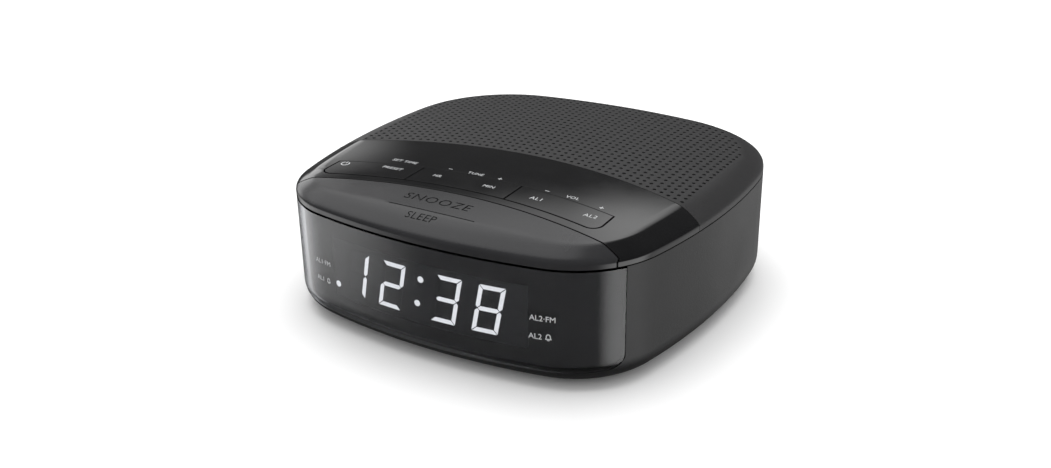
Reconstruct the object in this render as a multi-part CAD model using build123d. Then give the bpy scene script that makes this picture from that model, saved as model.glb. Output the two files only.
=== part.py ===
from build123d import *
import math
import os

# Bedside clock radio.
# Millimetres. +Z up, the display faces -Y, +X is the viewer's right.
# The origin is under the middle of the case, on the surface it stands on.

# ---- case outline ----
WIDTH = 134.0
DEPTH = 131.0
FRONT_RADIUS = 202.5
BACK_RADIUS = 197.6
SIDE_RADIUS = 203.7
SIDE_CENTRE_Y = 8.1
FRONT_CORNER = 30.0
BACK_CORNER = 41.6

# ---- case heights and walls ----
BASE_Z = 1.3
BASE_ROUND = 7.0
SEAM_Z = 37.0
SEAM_GAP = 0.2
WALL = 2.2
COVER_WALL = 2.0
CROWN_Z = 44.3
CROWN_RADIUS = 1050.0
# inset and height of each section of the rolled upper edge
ROLL = [
    (0.0, SEAM_Z + SEAM_GAP / 2), (0.0, 38.5), (0.3, 39.2), (1.2, 39.85),
    (3.2, 40.85), (5.4, 41.8), (7.8, 42.5), (16.0, 44.6),
]
ROLL_INSIDE = [
    (2.0, 30.0), (2.0, 37.2), (2.9, 38.1), (5.0, 39.5), (8.4, 40.6), (18.0, 43.2),
]
LIP_INSET = 2.45
LIP_WALL = 1.4
LIP_Z = 33.6

# ---- front lens and display ----
LENS_HALF = 57.0
LENS_THICK = 1.9
LENS_MID_Z = 5.0
LENS_END_Z = 6.3
LENS_TOP_Z = 36.5
LENS_CORNER = 4.0
LENS_GAP = 0.12
VIEW_HALF = 33.5
VIEW_LOW_Z = 11.3
VIEW_HIGH_Z = 30.7
DIGIT_HEIGHT = 14.8
DIGIT_WIDTH = 8.0
DIGIT_CENTRES = (-23.8, -10.3, 8.4, 21.75)
DIGIT_MID_Z = 21.15
SEGMENT = 1.25
SEGMENT_GAP = 0.4
SLANT = 0.2
COLON_X = -0.66
COLON_MID_Z = 21.75
COLON_RISE = 3.9
LIGHT_COLUMN = 32.1
LIGHT_ROWS = (15.4, 21.2)
SHOWN = "1238"
DISPLAY_BACK_Y = -54.0

# ---- snooze button, control panel and keys, seen from above ----
SNOOZE_ARC_Y = -222.0
SNOOZE_ARC_RADIUS = 180.0
SNOOZE_HALF = 55.3
MOVING_GAP = 0.35
COVER_ARC_Y = -163.5
COVER_ARC_RADIUS = 158.0
KEY_FRONT_RADIUS = 183.7
KEY_BACK_RADIUS = 193.9
KEY_GAP = 0.4
KEY_CORNER = 3.0
KEYS = {
    "key_power": (-50.9, -22.6),
    "key_time": (-22.1, 12.0),
    "key_alarm": (12.5, 44.9),
}
KEY_PIVOT_Z = 38.8
KEY_SWITCH_SHARE = 0.62
KEY_PCB_Z = 32.0
PCB_THICK = 1.6

# ---- speaker ----
SPEAKER_X = 0.0
SPEAKER_Y = 24.0
SPEAKER_RIM_Z = 38.0
SPEAKER_RIM_RADIUS = 29.0
SPEAKER_EAR_RADIUS = 31.5
HOLE_PITCH_X = 2.6
HOLE_PITCH_Y = 2.7
HOLE_RADIUS = 0.6

# ---- base: boards, battery bay, feet and screws ----
MAIN_PCB_Z = 9.0
BAY_X = 24.0
BAY_Y = 18.0
BAY_LENGTH = 30.7
BAY_WIDTH = 26.7
BAY_TOP_Z = 7.3
CELL_RADIUS = 10.0
CELL_THICK = 3.2
FOOT_RADIUS = 5.5
FOOT_SPOTS = [(-40.0, -42.0), (40.0, -42.0), (-34.0, 46.0), (34.0, 46.0)]
CASE_SCREW_SPOTS = [(-54.0, -30.0), (54.0, -30.0), (-46.0, 42.0), (46.0, 42.0)]
MAIN_POST_SPOTS = [(-44.0, -36.0), (44.0, -36.0), (-44.0, 29.0), (44.0, 29.0)]
KEY_POST_SPOTS = [(-38.0, -48.0), (38.0, -48.0)]
KEY_BOSS_SPOTS = [(-42.0, -27.0), (42.0, -27.0)]
CORD_X = -30.0
CORD_Z = 13.0
CORD_BORE_RADIUS = 2.5
AERIAL_BORE_RADIUS = 1.1
GLAND_FACE_Y = 62.4


# ================= shared shapes =================

def disc(radius, x, y, z_low, z_high):
    """Upright cylinder between two heights."""
    height = z_high - z_low
    return Pos(x, y, z_low + height / 2) * Cylinder(radius, height)


def ring(outer, inner, x, y, z_low, z_high):
    """Upright tube between two heights."""
    return disc(outer, x, y, z_low, z_high) - disc(inner, x, y, z_low - 1, z_high + 1)


def block(x_low, x_high, y_low, y_high, z_low, z_high):
    """Box given by its limits."""
    size = (x_high - x_low, y_high - y_low, z_high - z_low)
    middle = ((x_low + x_high) / 2, (y_low + y_high) / 2, (z_low + z_high) / 2)
    return Pos(*middle) * Box(*size)


def lying(radius, x, z, y_low, y_high):
    """Cylinder along Y between two positions."""
    length = y_high - y_low
    return Pos(x, y_low + length / 2, z) * Rot(90, 0, 0) * Cylinder(radius, length)


def reach(centre, towards, radius):
    """Point at a radius from a centre, in the direction of another point."""
    dx = towards[0] - centre[0]
    dy = towards[1] - centre[1]
    length = math.hypot(dx, dy)
    return (centre[0] + dx * radius / length, centre[1] + dy * radius / length)


def corner_centre(end_centre, side_centre, end_radius, corner_radius):
    """Centre of the corner arc that runs smoothly into an end arc and the side arc."""
    a = end_radius - corner_radius
    b = SIDE_RADIUS - corner_radius
    dx = side_centre[0] - end_centre[0]
    dy = side_centre[1] - end_centre[1]
    apart = math.hypot(dx, dy)
    along = (a * a - b * b + apart * apart) / (2 * apart)
    across = math.sqrt(a * a - along * along)
    found = []
    for side in (-1, 1):
        x = end_centre[0] + (along * dx - side * across * dy) / apart
        y = end_centre[1] + (along * dy + side * across * dx) / apart
        found.append((x, y))
    return max(found)


def plan(inset=0.0):
    """Case outline seen from above, moved inwards by an inset."""
    front_centre = (0.0, FRONT_RADIUS - DEPTH / 2)
    back_centre = (0.0, DEPTH / 2 - BACK_RADIUS)
    side_centre = (WIDTH / 2 - SIDE_RADIUS, SIDE_CENTRE_Y)
    front_corner = corner_centre(front_centre, side_centre, FRONT_RADIUS, FRONT_CORNER)
    back_corner = corner_centre(back_centre, side_centre, BACK_RADIUS, BACK_CORNER)
    a = reach(front_centre, front_corner, FRONT_RADIUS - inset)
    b = reach(side_centre, front_corner, SIDE_RADIUS - inset)
    c = reach(side_centre, back_corner, SIDE_RADIUS - inset)
    d = reach(back_centre, back_corner, BACK_RADIUS - inset)
    front_chord = ((a[0] + b[0]) / 2, (a[1] + b[1]) / 2)
    back_chord = ((c[0] + d[0]) / 2, (c[1] + d[1]) / 2)
    front_bend = reach(front_corner, front_chord, FRONT_CORNER - inset)
    back_bend = reach(back_corner, back_chord, BACK_CORNER - inset)
    right = [a, front_bend, b, (WIDTH / 2 - inset, SIDE_CENTRE_Y), c, back_bend, d]
    left = [(-x, y) for x, y in reversed(right)]
    loop = right + [(0.0, DEPTH / 2 - inset)] + left + [(0.0, inset - DEPTH / 2)]
    count = len(loop)
    arcs = []
    for i in range(0, count, 2):
        arcs.append(ThreePointArc(loop[i], loop[i + 1], loop[(i + 2) % count]))
    return Face(Wire(arcs))


def prism(inset, z_low, z_high):
    """Upright block with the case outline."""
    return extrude(Pos(0, 0, z_low) * plan(inset), z_high - z_low, dir=(0, 0, 1))


def lower_block(inset, top_z):
    """Lower case form with its rounded bottom edge, moved inwards by an inset."""
    body = prism(inset, BASE_Z + inset, top_z)
    bottom_edges = body.edges().group_by(Axis.Z)[0]
    return fillet(bottom_edges, BASE_ROUND - inset)


def rolled(sections):
    """Upper form that follows the rolled edge sections."""
    return loft([Pos(0, 0, z) * plan(inset) for inset, z in sections], ruled=True)


def crown(drop):
    """Very large ball whose top gives the slightly domed upper surface."""
    return Pos(0, 0, CROWN_Z - CROWN_RADIUS - drop) * Rot(90, 0, 0) * Sphere(CROWN_RADIUS)


def upper_form():
    """Outside of all top parts together."""
    return rolled(ROLL) & crown(0.0)


def cover_shell():
    """Thin domed shell that the top parts are cut from."""
    return upper_form() - (rolled(ROLL_INSIDE) & crown(COVER_WALL))


def snooze_zone(shrink):
    """Space over the almond-shaped snooze button."""
    zone = disc(SNOOZE_ARC_RADIUS - shrink, 0, SNOOZE_ARC_Y, 20, 60)
    return zone & block(shrink - SNOOZE_HALF, SNOOZE_HALF - shrink, -80, -30, 20, 60)


def front_of_cover(shrink):
    """Space in front of the curved seam between the panel and the grille cover."""
    return disc(COVER_ARC_RADIUS - shrink, 0, COVER_ARC_Y, 20, 60)


def key_front_y(x):
    """Front edge of the key row at a given x."""
    return SNOOZE_ARC_Y + math.sqrt(KEY_FRONT_RADIUS ** 2 - x ** 2)


def key_zone(x_low, x_high, grow, round_left, round_right):
    """Space over one key: a curved strip with straight ends."""
    band = Circle(KEY_BACK_RADIUS + grow) - Circle(KEY_FRONT_RADIUS - grow)
    ends = Pos((x_low + x_high) / 2, 188) * Rectangle(x_high - x_low + 2 * grow, 60)
    face = (band & ends).faces()[0]
    corners = []
    ordered = face.vertices().sort_by(Axis.Y)
    low_left = min(ordered, key=lambda v: math.hypot(v.X - x_low, v.Y - 180))
    low_right = min(ordered, key=lambda v: math.hypot(v.X - x_high, v.Y - 180))
    if round_left:
        corners.append(low_left)
    if round_right:
        corners.append(low_right)
    if corners:
        face = face.fillet_2d(KEY_CORNER + grow, corners)
    return extrude(Pos(0, SNOOZE_ARC_Y, 20) * face, 40, dir=(0, 0, 1))


def lip_ring():
    """Inner lip under the top parts that locates them in the lower cabinet."""
    return prism(LIP_INSET, LIP_Z, 38.6) - prism(LIP_INSET + LIP_WALL, LIP_Z - 1, 39.6)


def front_prism(face, y_near, y_far):
    """Shape drawn in front view, carried along Y from y_near back to y_far."""
    return extrude(Plane.XZ.offset(-y_far) * face, y_far - y_near)


def window_face(grow, top_z):
    """Front view of the lens, with its gently bowed lower edge."""
    half = LENS_HALF + grow
    end_z = LENS_END_Z - grow
    edges = [
        ThreePointArc((-half, end_z), (0, LENS_MID_Z - grow), (half, end_z)),
        Line((half, end_z), (half, top_z)),
        Line((half, top_z), (-half, top_z)),
        Line((-half, top_z), (-half, end_z)),
    ]
    face = Face(Wire(edges))
    lower = face.vertices().sort_by(Axis.Y)[:2]
    return face.fillet_2d(LENS_CORNER + grow, lower)


# ================= lower cabinet =================

def gland_seat(x, hole_radius, seat_radius):
    """Flat seat and through hole for a rubber gland in the back wall."""
    seat = lying(seat_radius, x, CORD_Z, GLAND_FACE_Y, 70)
    return seat + lying(hole_radius, x, CORD_Z, 50, 70)


def battery_bay():
    """Raised walls and ceiling of the battery bay inside the cabinet."""
    x = BAY_LENGTH / 2 + 1.5
    y = BAY_WIDTH / 2 + 1.5
    top = BAY_TOP_Z + 1.2
    return block(BAY_X - x, BAY_X + x, BAY_Y - y, BAY_Y + y, BASE_Z + 1.0, top)


def bay_space():
    """Open space of the battery bay."""
    x = BAY_LENGTH / 2
    y = BAY_WIDTH / 2
    return block(BAY_X - x, BAY_X + x, BAY_Y - y, BAY_Y + y, BASE_Z - 1, BAY_TOP_Z)


def lower_cabinet():
    """Deep tub with a bowed opening for the lens."""
    top = SEAM_Z - SEAM_GAP / 2
    body = lower_block(0.0, top) - lower_block(WALL, top + 1)
    body -= front_prism(window_face(LENS_GAP, top + 5), -80, -40)
    body += battery_bay()
    for x, y in CASE_SCREW_SPOTS:
        body += disc(4.6, x, y, BASE_Z + 1.0, 24.0)
    for x, y in MAIN_POST_SPOTS:
        body += disc(3.0, x, y, BASE_Z + 1.0, MAIN_PCB_Z)
    for x, y in KEY_POST_SPOTS:
        body += disc(2.5, x, y, BASE_Z + 1.0, KEY_PCB_Z)
        body += disc(1.0, x, y, KEY_PCB_Z - 1, KEY_PCB_Z + PCB_THICK + 0.8)
    body -= bay_space()
    for x, y in CASE_SCREW_SPOTS:
        body -= disc(3.3, x, y, BASE_Z - 1, 14.0)
        body -= disc(1.6, x, y, 13.0, 25.0)
    for x, y in MAIN_POST_SPOTS:
        body -= disc(1.2, x, y, 5.0, MAIN_PCB_Z + 1)
    for x, y in FOOT_SPOTS:
        body -= disc(FOOT_RADIUS + 0.2, x, y, BASE_Z - 1, BASE_Z + 0.9)
    for i in range(7):
        x = -40.0 + 4.0 * i
        slot = block(x - 0.9, x + 0.9, 8, 26, BASE_Z - 1, BASE_Z + 4)
        body -= fillet(slot.edges().filter_by(Axis.Z), 0.85)
    body -= gland_seat(CORD_X, 3.6, 5.4)
    body -= gland_seat(-CORD_X, 2.1, 3.9)
    return body


def gland(x, bore_radius, neck_radius, flange_radius):
    """Rubber gland: outer flange, neck through the wall, inner collar, open bore."""
    body = lying(flange_radius, x, CORD_Z, GLAND_FACE_Y, GLAND_FACE_Y + 2.0)
    body += lying(neck_radius, x, CORD_Z, 56.0, GLAND_FACE_Y)
    body += lying(neck_radius + 1.2, x, CORD_Z, 56.0, 58.5)
    return body - lying(bore_radius, x, CORD_Z, 50, 70)


def rubber_feet():
    """Four round feet set into the base."""
    feet = []
    for x, y in FOOT_SPOTS:
        foot = disc(FOOT_RADIUS, x, y, 0.0, BASE_Z + 0.8)
        feet.append(fillet(foot.edges().group_by(Axis.Z)[0], 0.4))
    return Compound(children=feet)


def cross_screw(x, y, head_low, head_high, head_radius, shank_radius, tip_z):
    """Pan-head screw with a cross recess. The head is on the side away from the tip."""
    upwards = tip_z > head_high
    body = disc(head_radius, x, y, head_low, head_high)
    outer = head_low if upwards else head_high
    outer_edges = body.edges().group_by(Axis.Z)[0 if upwards else -1]
    body = fillet(outer_edges, 0.4)
    depth = 0.6 * (head_high - head_low)
    for turn in (0, 90):
        slot = Pos(x, y, outer) * Rot(0, 0, turn) * Box(head_radius * 1.2, 0.7, 2 * depth)
        body -= slot
    if upwards:
        return body + disc(shank_radius, x, y, head_high, tip_z)
    return body + disc(shank_radius, x, y, tip_z, head_low)


def case_screws():
    """Four long screws that pull the top parts down onto the cabinet."""
    screws = []
    for x, y in CASE_SCREW_SPOTS:
        screws.append(cross_screw(x, y, 11.6, 13.9, 2.9, 1.45, 33.0))
    return Compound(children=screws)


# ================= lens and display =================

def front_lens():
    """Tinted window that follows the bowed front of the case."""
    shell = lower_block(0.0, 40.0) - lower_block(LENS_THICK, 41.0)
    return shell & front_prism(window_face(0.0, LENS_TOP_Z), -80, -40)


def view_face(shrink):
    """Front view of the rectangle that the digits sit in."""
    width = 2 * (VIEW_HALF - shrink)
    height = VIEW_HIGH_Z - VIEW_LOW_Z - 2 * shrink
    return Pos(0, (VIEW_HIGH_Z + VIEW_LOW_Z) / 2) * Rectangle(width, height)


def display_bezel():
    """Curved black mask behind the lens, open in front of the digits."""
    shell = lower_block(LENS_THICK + 0.1, 40.0) - lower_block(LENS_THICK + 1.3, 41.0)
    outline = Pos(0, 21.6) * RectangleRounded(110.0, 29.4, 3.0)
    shell = shell & front_prism(outline, -80, -45)
    return shell - front_prism(view_face(0.0), -80, -45)


def leaning(x, z, points):
    """Face of one bar, leaning like the rest of the digit."""
    placed = []
    for u, v in points:
        placed.append((x + u + (z + v - DIGIT_MID_Z) * SLANT, z + v))
    return make_face(Polyline(*placed, close=True))


def flat_bar(x, z, half, outer):
    """Bar across a digit. Outer says which way its long edge faces, 0 for the middle bar."""
    edge = SEGMENT / 2
    if outer == 0:
        points = [
            (-half, 0), (edge - half, edge), (half - edge, edge),
            (half, 0), (half - edge, -edge), (edge - half, -edge),
        ]
    else:
        points = [
            (-half - edge, outer * edge), (half + edge, outer * edge),
            (half - edge, -outer * edge), (edge - half, -outer * edge),
        ]
    return leaning(x, z, points)


def upright_bar(x, z, half, outer, corner):
    """Bar up a side: mitred at the corner of the digit and pointed at its middle."""
    edge = SEGMENT / 2
    points = [
        (outer * edge, corner * (half + edge)), (-outer * edge, corner * (half - edge)),
        (-outer * edge, corner * (edge - half)), (0, -corner * half),
        (outer * edge, corner * (edge - half)),
    ]
    return leaning(x, z, points)


def digit_bars(centre_x):
    """The seven bars of one digit, by their usual letters."""
    across = DIGIT_WIDTH - SEGMENT
    up = (DIGIT_HEIGHT - SEGMENT) / 2
    wide = (across - SEGMENT_GAP) / 2
    tall = (up - SEGMENT_GAP) / 2
    right = centre_x + across / 2
    left = centre_x - across / 2
    mid = DIGIT_MID_Z
    return {
        "a": flat_bar(centre_x, mid + up, wide, 1),
        "b": upright_bar(right, mid + up / 2, tall, 1, 1),
        "c": upright_bar(right, mid - up / 2, tall, 1, -1),
        "d": flat_bar(centre_x, mid - up, wide, -1),
        "e": upright_bar(left, mid - up / 2, tall, -1, -1),
        "f": upright_bar(left, mid + up / 2, tall, -1, 1),
        "g": flat_bar(centre_x, mid, wide, 0),
    }


LIT_BARS = {"1": "bc", "2": "abged", "3": "abgcd", "8": "abcdefg"}


def dot(x, z):
    """Round light."""
    return Pos(x, z) * Circle(0.95)


def display_faces(lit):
    """Front view of every light that is on, or of every light that is off."""
    faces = []
    for centre_x, figure in zip(DIGIT_CENTRES, SHOWN):
        for letter, face in digit_bars(centre_x).items():
            if (letter in LIT_BARS[figure]) == lit:
                faces.append(face)
    if lit:
        for rise in (COLON_RISE, -COLON_RISE):
            faces.append(dot(COLON_X + rise * SLANT, COLON_MID_Z + rise))
        faces.append(dot(-LIGHT_COLUMN, LIGHT_ROWS[0]))
    else:
        faces.append(dot(-LIGHT_COLUMN, LIGHT_ROWS[1]))
        faces.append(dot(LIGHT_COLUMN - 1.0, LIGHT_ROWS[0]))
        faces.append(dot(LIGHT_COLUMN - 1.0, LIGHT_ROWS[1]))
    return faces


def display_lights(lit):
    """Small clear blocks that carry the light to the face of the display."""
    core = lower_block(LENS_THICK + 0.2, 40.0)
    pieces = []
    for face in display_faces(lit):
        piece = front_prism(face, -66.0, -57.0) & core
        pieces.append(piece)
    return Compound(children=pieces)


def digit_reflector():
    """Block with one cell for each light."""
    core = lower_block(LENS_THICK + 0.3, 40.0)
    body = front_prism(view_face(0.2), -66.0, DISPLAY_BACK_Y) & core
    for lit in (True, False):
        for face in display_faces(lit):
            body -= front_prism(face, -66.0, -57.0)
    return body


def display_pcb():
    """Upright board behind the digits."""
    body = block(-46, 46, DISPLAY_BACK_Y, DISPLAY_BACK_Y + PCB_THICK, 9.0, 30.6)
    return fillet(body.edges().filter_by(Axis.Y), 1.0)


# ================= snooze button, panel and keys =================

def snooze_button():
    """Almond-shaped button across the front of the top."""
    zone = snooze_zone(MOVING_GAP / 2)
    body = cover_shell() & zone
    outside = upper_form()
    arc = SNOOZE_ARC_RADIUS - MOVING_GAP / 2
    skirt = ring(arc, arc - 1.5, 0, SNOOZE_ARC_Y, 37.6, 60)
    skirt = skirt & block(-50, 50, -60, -35, 37.6, 60)
    body += skirt & outside
    for x in (-30.0, 30.0):
        body += disc(2.0, x, -50.5, 31.6, 50) & (outside + prism(5, 30, 38))
        body += block(x - 0.6, x + 0.6, -57, -46, 38.4, 50) & outside
    body += disc(1.8, 0, -49.5, 38.8, 50) & outside
    return body


def control_panel():
    """Glossy band with one opening for the row of keys."""
    zone = front_of_cover(0.06) - snooze_zone(-MOVING_GAP / 2)
    body = cover_shell() & zone
    body += (lip_ring() & zone) - front_prism(window_face(0.6, 60), -80, -45)
    arc = SNOOZE_ARC_RADIUS + MOVING_GAP / 2
    skirt = ring(arc + 1.4, arc, 0, SNOOZE_ARC_Y, 37.0, 60)
    body += skirt & block(-50, 50, -60, -35, 37.0, 60) & upper_form()
    outside = upper_form() + prism(6, 20, 38)
    for x, y in CASE_SCREW_SPOTS[:2]:
        body += disc(3.6, x, y, 24.2, 60) & outside
    for x, y in KEY_BOSS_SPOTS:
        body += disc(2.4, x, y, KEY_PCB_Z + PCB_THICK, 60) & outside
    low = KEYS["key_power"][0]
    high = KEYS["key_alarm"][1]
    body -= key_zone(low, high, KEY_GAP, True, True)
    for x, y in CASE_SCREW_SPOTS[:2]:
        body -= disc(1.5, x, y, 24.0, 36.0)
    for x, y in KEY_BOSS_SPOTS:
        body -= disc(1.0, x, y, KEY_PCB_Z, 38.0)
    return body


def key_switch_spots(name):
    """Where the two switches under one key sit."""
    x_low, x_high = KEYS[name]
    middle = (x_low + x_high) / 2
    offset = KEY_SWITCH_SHARE * (x_high - x_low) / 2
    return [(x, key_front_y(x) + 4.0) for x in (middle - offset, middle + offset)]


def rocker_key(name):
    """Rocking key: domed plate, pivot bar on a rib, two switch posts."""
    x_low, x_high = KEYS[name]
    middle = (x_low + x_high) / 2
    front_y = key_front_y(middle)
    zone = key_zone(x_low, x_high, 0.0, name == "key_power", name == "key_alarm")
    body = cover_shell() & zone
    outside = upper_form()
    rib = block(middle - 0.9, middle + 0.9, front_y + 3.4, front_y + 7.4, KEY_PIVOT_Z, 60)
    body += rib & outside
    body += lying(1.2, middle, KEY_PIVOT_Z, front_y + 1.4, front_y + 9.4)
    for x, y in key_switch_spots(name):
        body += disc(1.5, x, y, 38.7, 60) & outside
    return body


def key_carrier():
    """Strip on the key board with a pair of bearings for each key."""
    base = KEY_PCB_Z + PCB_THICK
    band = ring(193.4, 191.6, 0, SNOOZE_ARC_Y, base, base + 1.2)
    body = band & block(-38, 31, -60, -20, 30, 40)
    for name, (x_low, x_high) in KEYS.items():
        x = (x_low + x_high) / 2
        y = key_front_y(x)
        body += block(x - 2.6, x + 2.6, y + 1.6, y + 9.2, base, base + 1.2)
        for y_low in (y + 1.6, y + 8.0):
            body += block(x - 2.6, x + 2.6, y_low, y_low + 1.2, base, KEY_PIVOT_Z + 1.4)
        body -= lying(1.55, x, KEY_PIVOT_Z, y, y + 11)
    return body


def key_pcb():
    """Flat board under the keys and the snooze button."""
    top = KEY_PCB_Z + PCB_THICK
    body = block(-49, 49, -46, -19, KEY_PCB_Z, top)
    body += block(-42, 42, -55.5, -46, KEY_PCB_Z, top)
    for x, y in KEY_POST_SPOTS:
        body -= disc(1.2, x, y, 30, 40)
    for x, y in KEY_BOSS_SPOTS:
        body -= disc(1.1, x, y, 30, 40)
    for x in (-30.0, 30.0):
        body -= disc(2.4, x, -50.5, 30, 40)
    return body


def tact_switches():
    """Push switches: two under each key and one under the snooze button."""
    spots = [(0.0, -49.5)]
    for name in KEYS:
        spots += key_switch_spots(name)
    base = KEY_PCB_Z + PCB_THICK
    switches = []
    for x, y in spots:
        switch = block(x - 3, x + 3, y - 3, y + 3, base, base + 3.3)
        switch = chamfer(switch.edges().group_by(Axis.Z)[-1], 0.3)
        switches.append(switch + disc(1.7, x, y, base + 3.0, base + 4.4))
    return Compound(children=switches)


def key_pcb_screws():
    """Two small screws that hold the key board to the panel."""
    screws = []
    for x, y in KEY_BOSS_SPOTS:
        screws.append(cross_screw(x, y, KEY_PCB_Z - 1.6, KEY_PCB_Z, 2.1, 0.95, 37.5))
    return Compound(children=screws)


# ================= grille cover and speaker =================

def speaker_ears():
    """The four fixing points round the speaker."""
    spots = []
    for degrees in (45, 135, 225, 315):
        angle = math.radians(degrees)
        x = SPEAKER_X + SPEAKER_EAR_RADIUS * math.cos(angle)
        y = SPEAKER_Y + SPEAKER_EAR_RADIUS * math.sin(angle)
        spots.append((x, y))
    return spots


def sound_holes():
    """Rows of small holes over the speaker."""
    holes = []
    reach_out = 21.0
    steps = int(reach_out / HOLE_PITCH_X)
    for i in range(-steps, steps + 1):
        for j in range(-steps, steps + 1):
            x = SPEAKER_X + i * HOLE_PITCH_X
            y = SPEAKER_Y + j * HOLE_PITCH_Y
            if math.hypot(x - SPEAKER_X, y - SPEAKER_Y) < reach_out:
                holes.append(disc(HOLE_RADIUS, x, y, 36, 50))
    return holes


def grille_cover():
    """Domed rear cover with sound holes, a speaker ring and screw bosses."""
    zone = prism(-2, 20, 60) - front_of_cover(-0.06)
    body = cover_shell() & zone
    body += lip_ring() & zone
    outside = upper_form() + prism(6, 20, 38)
    rim = SPEAKER_RIM_RADIUS
    body += ring(rim - 0.2, rim - 4.2, SPEAKER_X, SPEAKER_Y, SPEAKER_RIM_Z + 0.7, 60) & outside
    for x, y in speaker_ears():
        body += disc(3.2, x, y, SPEAKER_RIM_Z + 0.05, 60) & outside
    for x, y in CASE_SCREW_SPOTS[2:]:
        body += disc(3.6, x, y, 24.2, 60) & outside
    for x, y in speaker_ears():
        body -= disc(1.15, x, y, 37, 41.2)
    for x, y in CASE_SCREW_SPOTS[2:]:
        body -= disc(1.5, x, y, 24.0, 36.0)
    return body - sound_holes()


def turned(points):
    """Ring turned about the speaker's axis from a profile of radius and height."""
    face = make_face(Polyline(*points, close=True))
    return Pos(SPEAKER_X, SPEAKER_Y, 0) * revolve(Plane.XZ * face, Axis.Z, 360)


def speaker_basket():
    """Pressed frame with four windows and four fixing ears."""
    rim_low = SPEAKER_RIM_Z - 1.4
    rim = SPEAKER_RIM_RADIUS
    body = turned([
        (7.4, 22.8), (16.5, 22.8), (26.6, rim_low), (rim, rim_low), (rim, SPEAKER_RIM_Z),
        (24.5, SPEAKER_RIM_Z), (24.5, rim_low - 0.2), (15.5, 24.1), (7.4, 24.1),
    ])
    window = block(-4.6, 4.6, 16, 27, 26.0, 34.4)
    for turn in (0, 90, 180, 270):
        body -= Pos(SPEAKER_X, SPEAKER_Y, 0) * Rot(0, 0, turn) * window
    for x, y in speaker_ears():
        ear = disc(3.4, x, y, rim_low, SPEAKER_RIM_Z)
        body += ear - disc(27.0, SPEAKER_X, SPEAKER_Y, 30, 40)
    for x, y in speaker_ears():
        body -= disc(1.3, x, y, 30, 40)
    return body


def speaker_cone():
    """Paper cone."""
    return turned([(6.8, 26.6), (20.6, 35.3), (21.6, 35.3), (21.6, 35.8), (20.4, 35.8), (6.8, 27.2)])


def dust_cap():
    """Domed cap in the middle of the cone."""
    dome = Pos(SPEAKER_X, SPEAKER_Y, 18.3) * Sphere(12.6)
    inner = Pos(SPEAKER_X, SPEAKER_Y, 18.3) * Sphere(12.1)
    return (dome - inner) & disc(8.2, SPEAKER_X, SPEAKER_Y, 28.05, 40)


def speaker_screws():
    """Four screws through the speaker's ears into the cover."""
    screws = []
    rim_low = SPEAKER_RIM_Z - 1.4
    for x, y in speaker_ears():
        screws.append(cross_screw(x, y, rim_low - 1.6, rim_low, 2.3, 1.05, 41.0))
    return Compound(children=screws)


# ================= main board =================

def main_pcb():
    """Main board on four posts."""
    top = MAIN_PCB_Z + PCB_THICK
    body = block(-49, 49, -42, 35, MAIN_PCB_Z, top)
    body += block(-40, 40, 34, 50, MAIN_PCB_Z, top)
    for x, y in MAIN_POST_SPOTS:
        body -= disc(1.5, x, y, 5, 15)
    return body


def main_pcb_screws():
    """Four screws that hold the main board."""
    top = MAIN_PCB_Z + PCB_THICK
    screws = []
    for x, y in MAIN_POST_SPOTS:
        screws.append(cross_screw(x, y, top, top + 1.7, 2.4, 1.1, 5.6))
    return Compound(children=screws)


def tuner_can():
    """Pressed metal screen over the tuner."""
    base = MAIN_PCB_Z + PCB_THICK
    outside = block(14, 38, -34, -14, base, base + 4.5)
    outside = fillet(outside.edges().group_by(Axis.Z)[-1], 0.8)
    return outside - block(14.4, 37.6, -33.6, -14.4, base - 1, base + 4.1)


def chip(x, y, length, width, height):
    """Chip body with rows of legs on two sides."""
    base = MAIN_PCB_Z + PCB_THICK
    reach_x = length / 2
    reach_y = width / 2
    body = block(x - reach_x, x + reach_x, y - reach_y, y + reach_y, base + 0.2, base + height)
    count = int(length / 1.27) - 1
    for i in range(count):
        leg_x = x + (i - (count - 1) / 2) * 1.27
        body += block(leg_x - 0.2, leg_x + 0.2, y - reach_y - 1, y + reach_y + 1, base, base + 0.4)
    return body


def ic_chips():
    """Clock chip, audio amplifier and regulator."""
    return Compound(children=[
        chip(-8.0, -28.0, 18.0, 7.6, 2.4),
        chip(-30.0, -8.0, 10.0, 5.0, 1.8),
        chip(0.0, -8.0, 7.0, 4.4, 1.6),
    ])


def capacitors():
    """Upright electrolytic capacitors."""
    base = MAIN_PCB_Z + PCB_THICK
    pieces = []
    for x, y, radius, height in (
        (34.0, 8.0, 4.0, 11.0), (34.0, -1.0, 3.2, 9.0), (-22.0, -34.0, 2.5, 7.0),
        (-36.0, -24.0, 3.2, 9.0), (-44.0, 12.0, 5.0, 14.0),
    ):
        can = disc(radius, x, y, base, base + height)
        pieces.append(fillet(can.edges().group_by(Axis.Z)[-1], 0.5))
    return Compound(children=pieces)


def transformer():
    """Mains transformer: bobbin between two core halves."""
    base = MAIN_PCB_Z + PCB_THICK
    bobbin = block(-33.0, -17.5, 39.0, 49.0, base, base + 3.0)
    core = block(-31.5, -19.0, 40.0, 48.5, base + 3.0, base + 8.6)
    return bobbin + fillet(core.edges().filter_by(Axis.Z), 0.6)


def board_connectors():
    """Sockets for the display ribbon and the speaker leads."""
    base = MAIN_PCB_Z + PCB_THICK
    ribbon = block(-13, 13, -41, -37, base, base + 3.2)
    speaker = block(8, 14, -4, 0, base, base + 3.5)
    return Compound(children=[ribbon, speaker])


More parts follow.
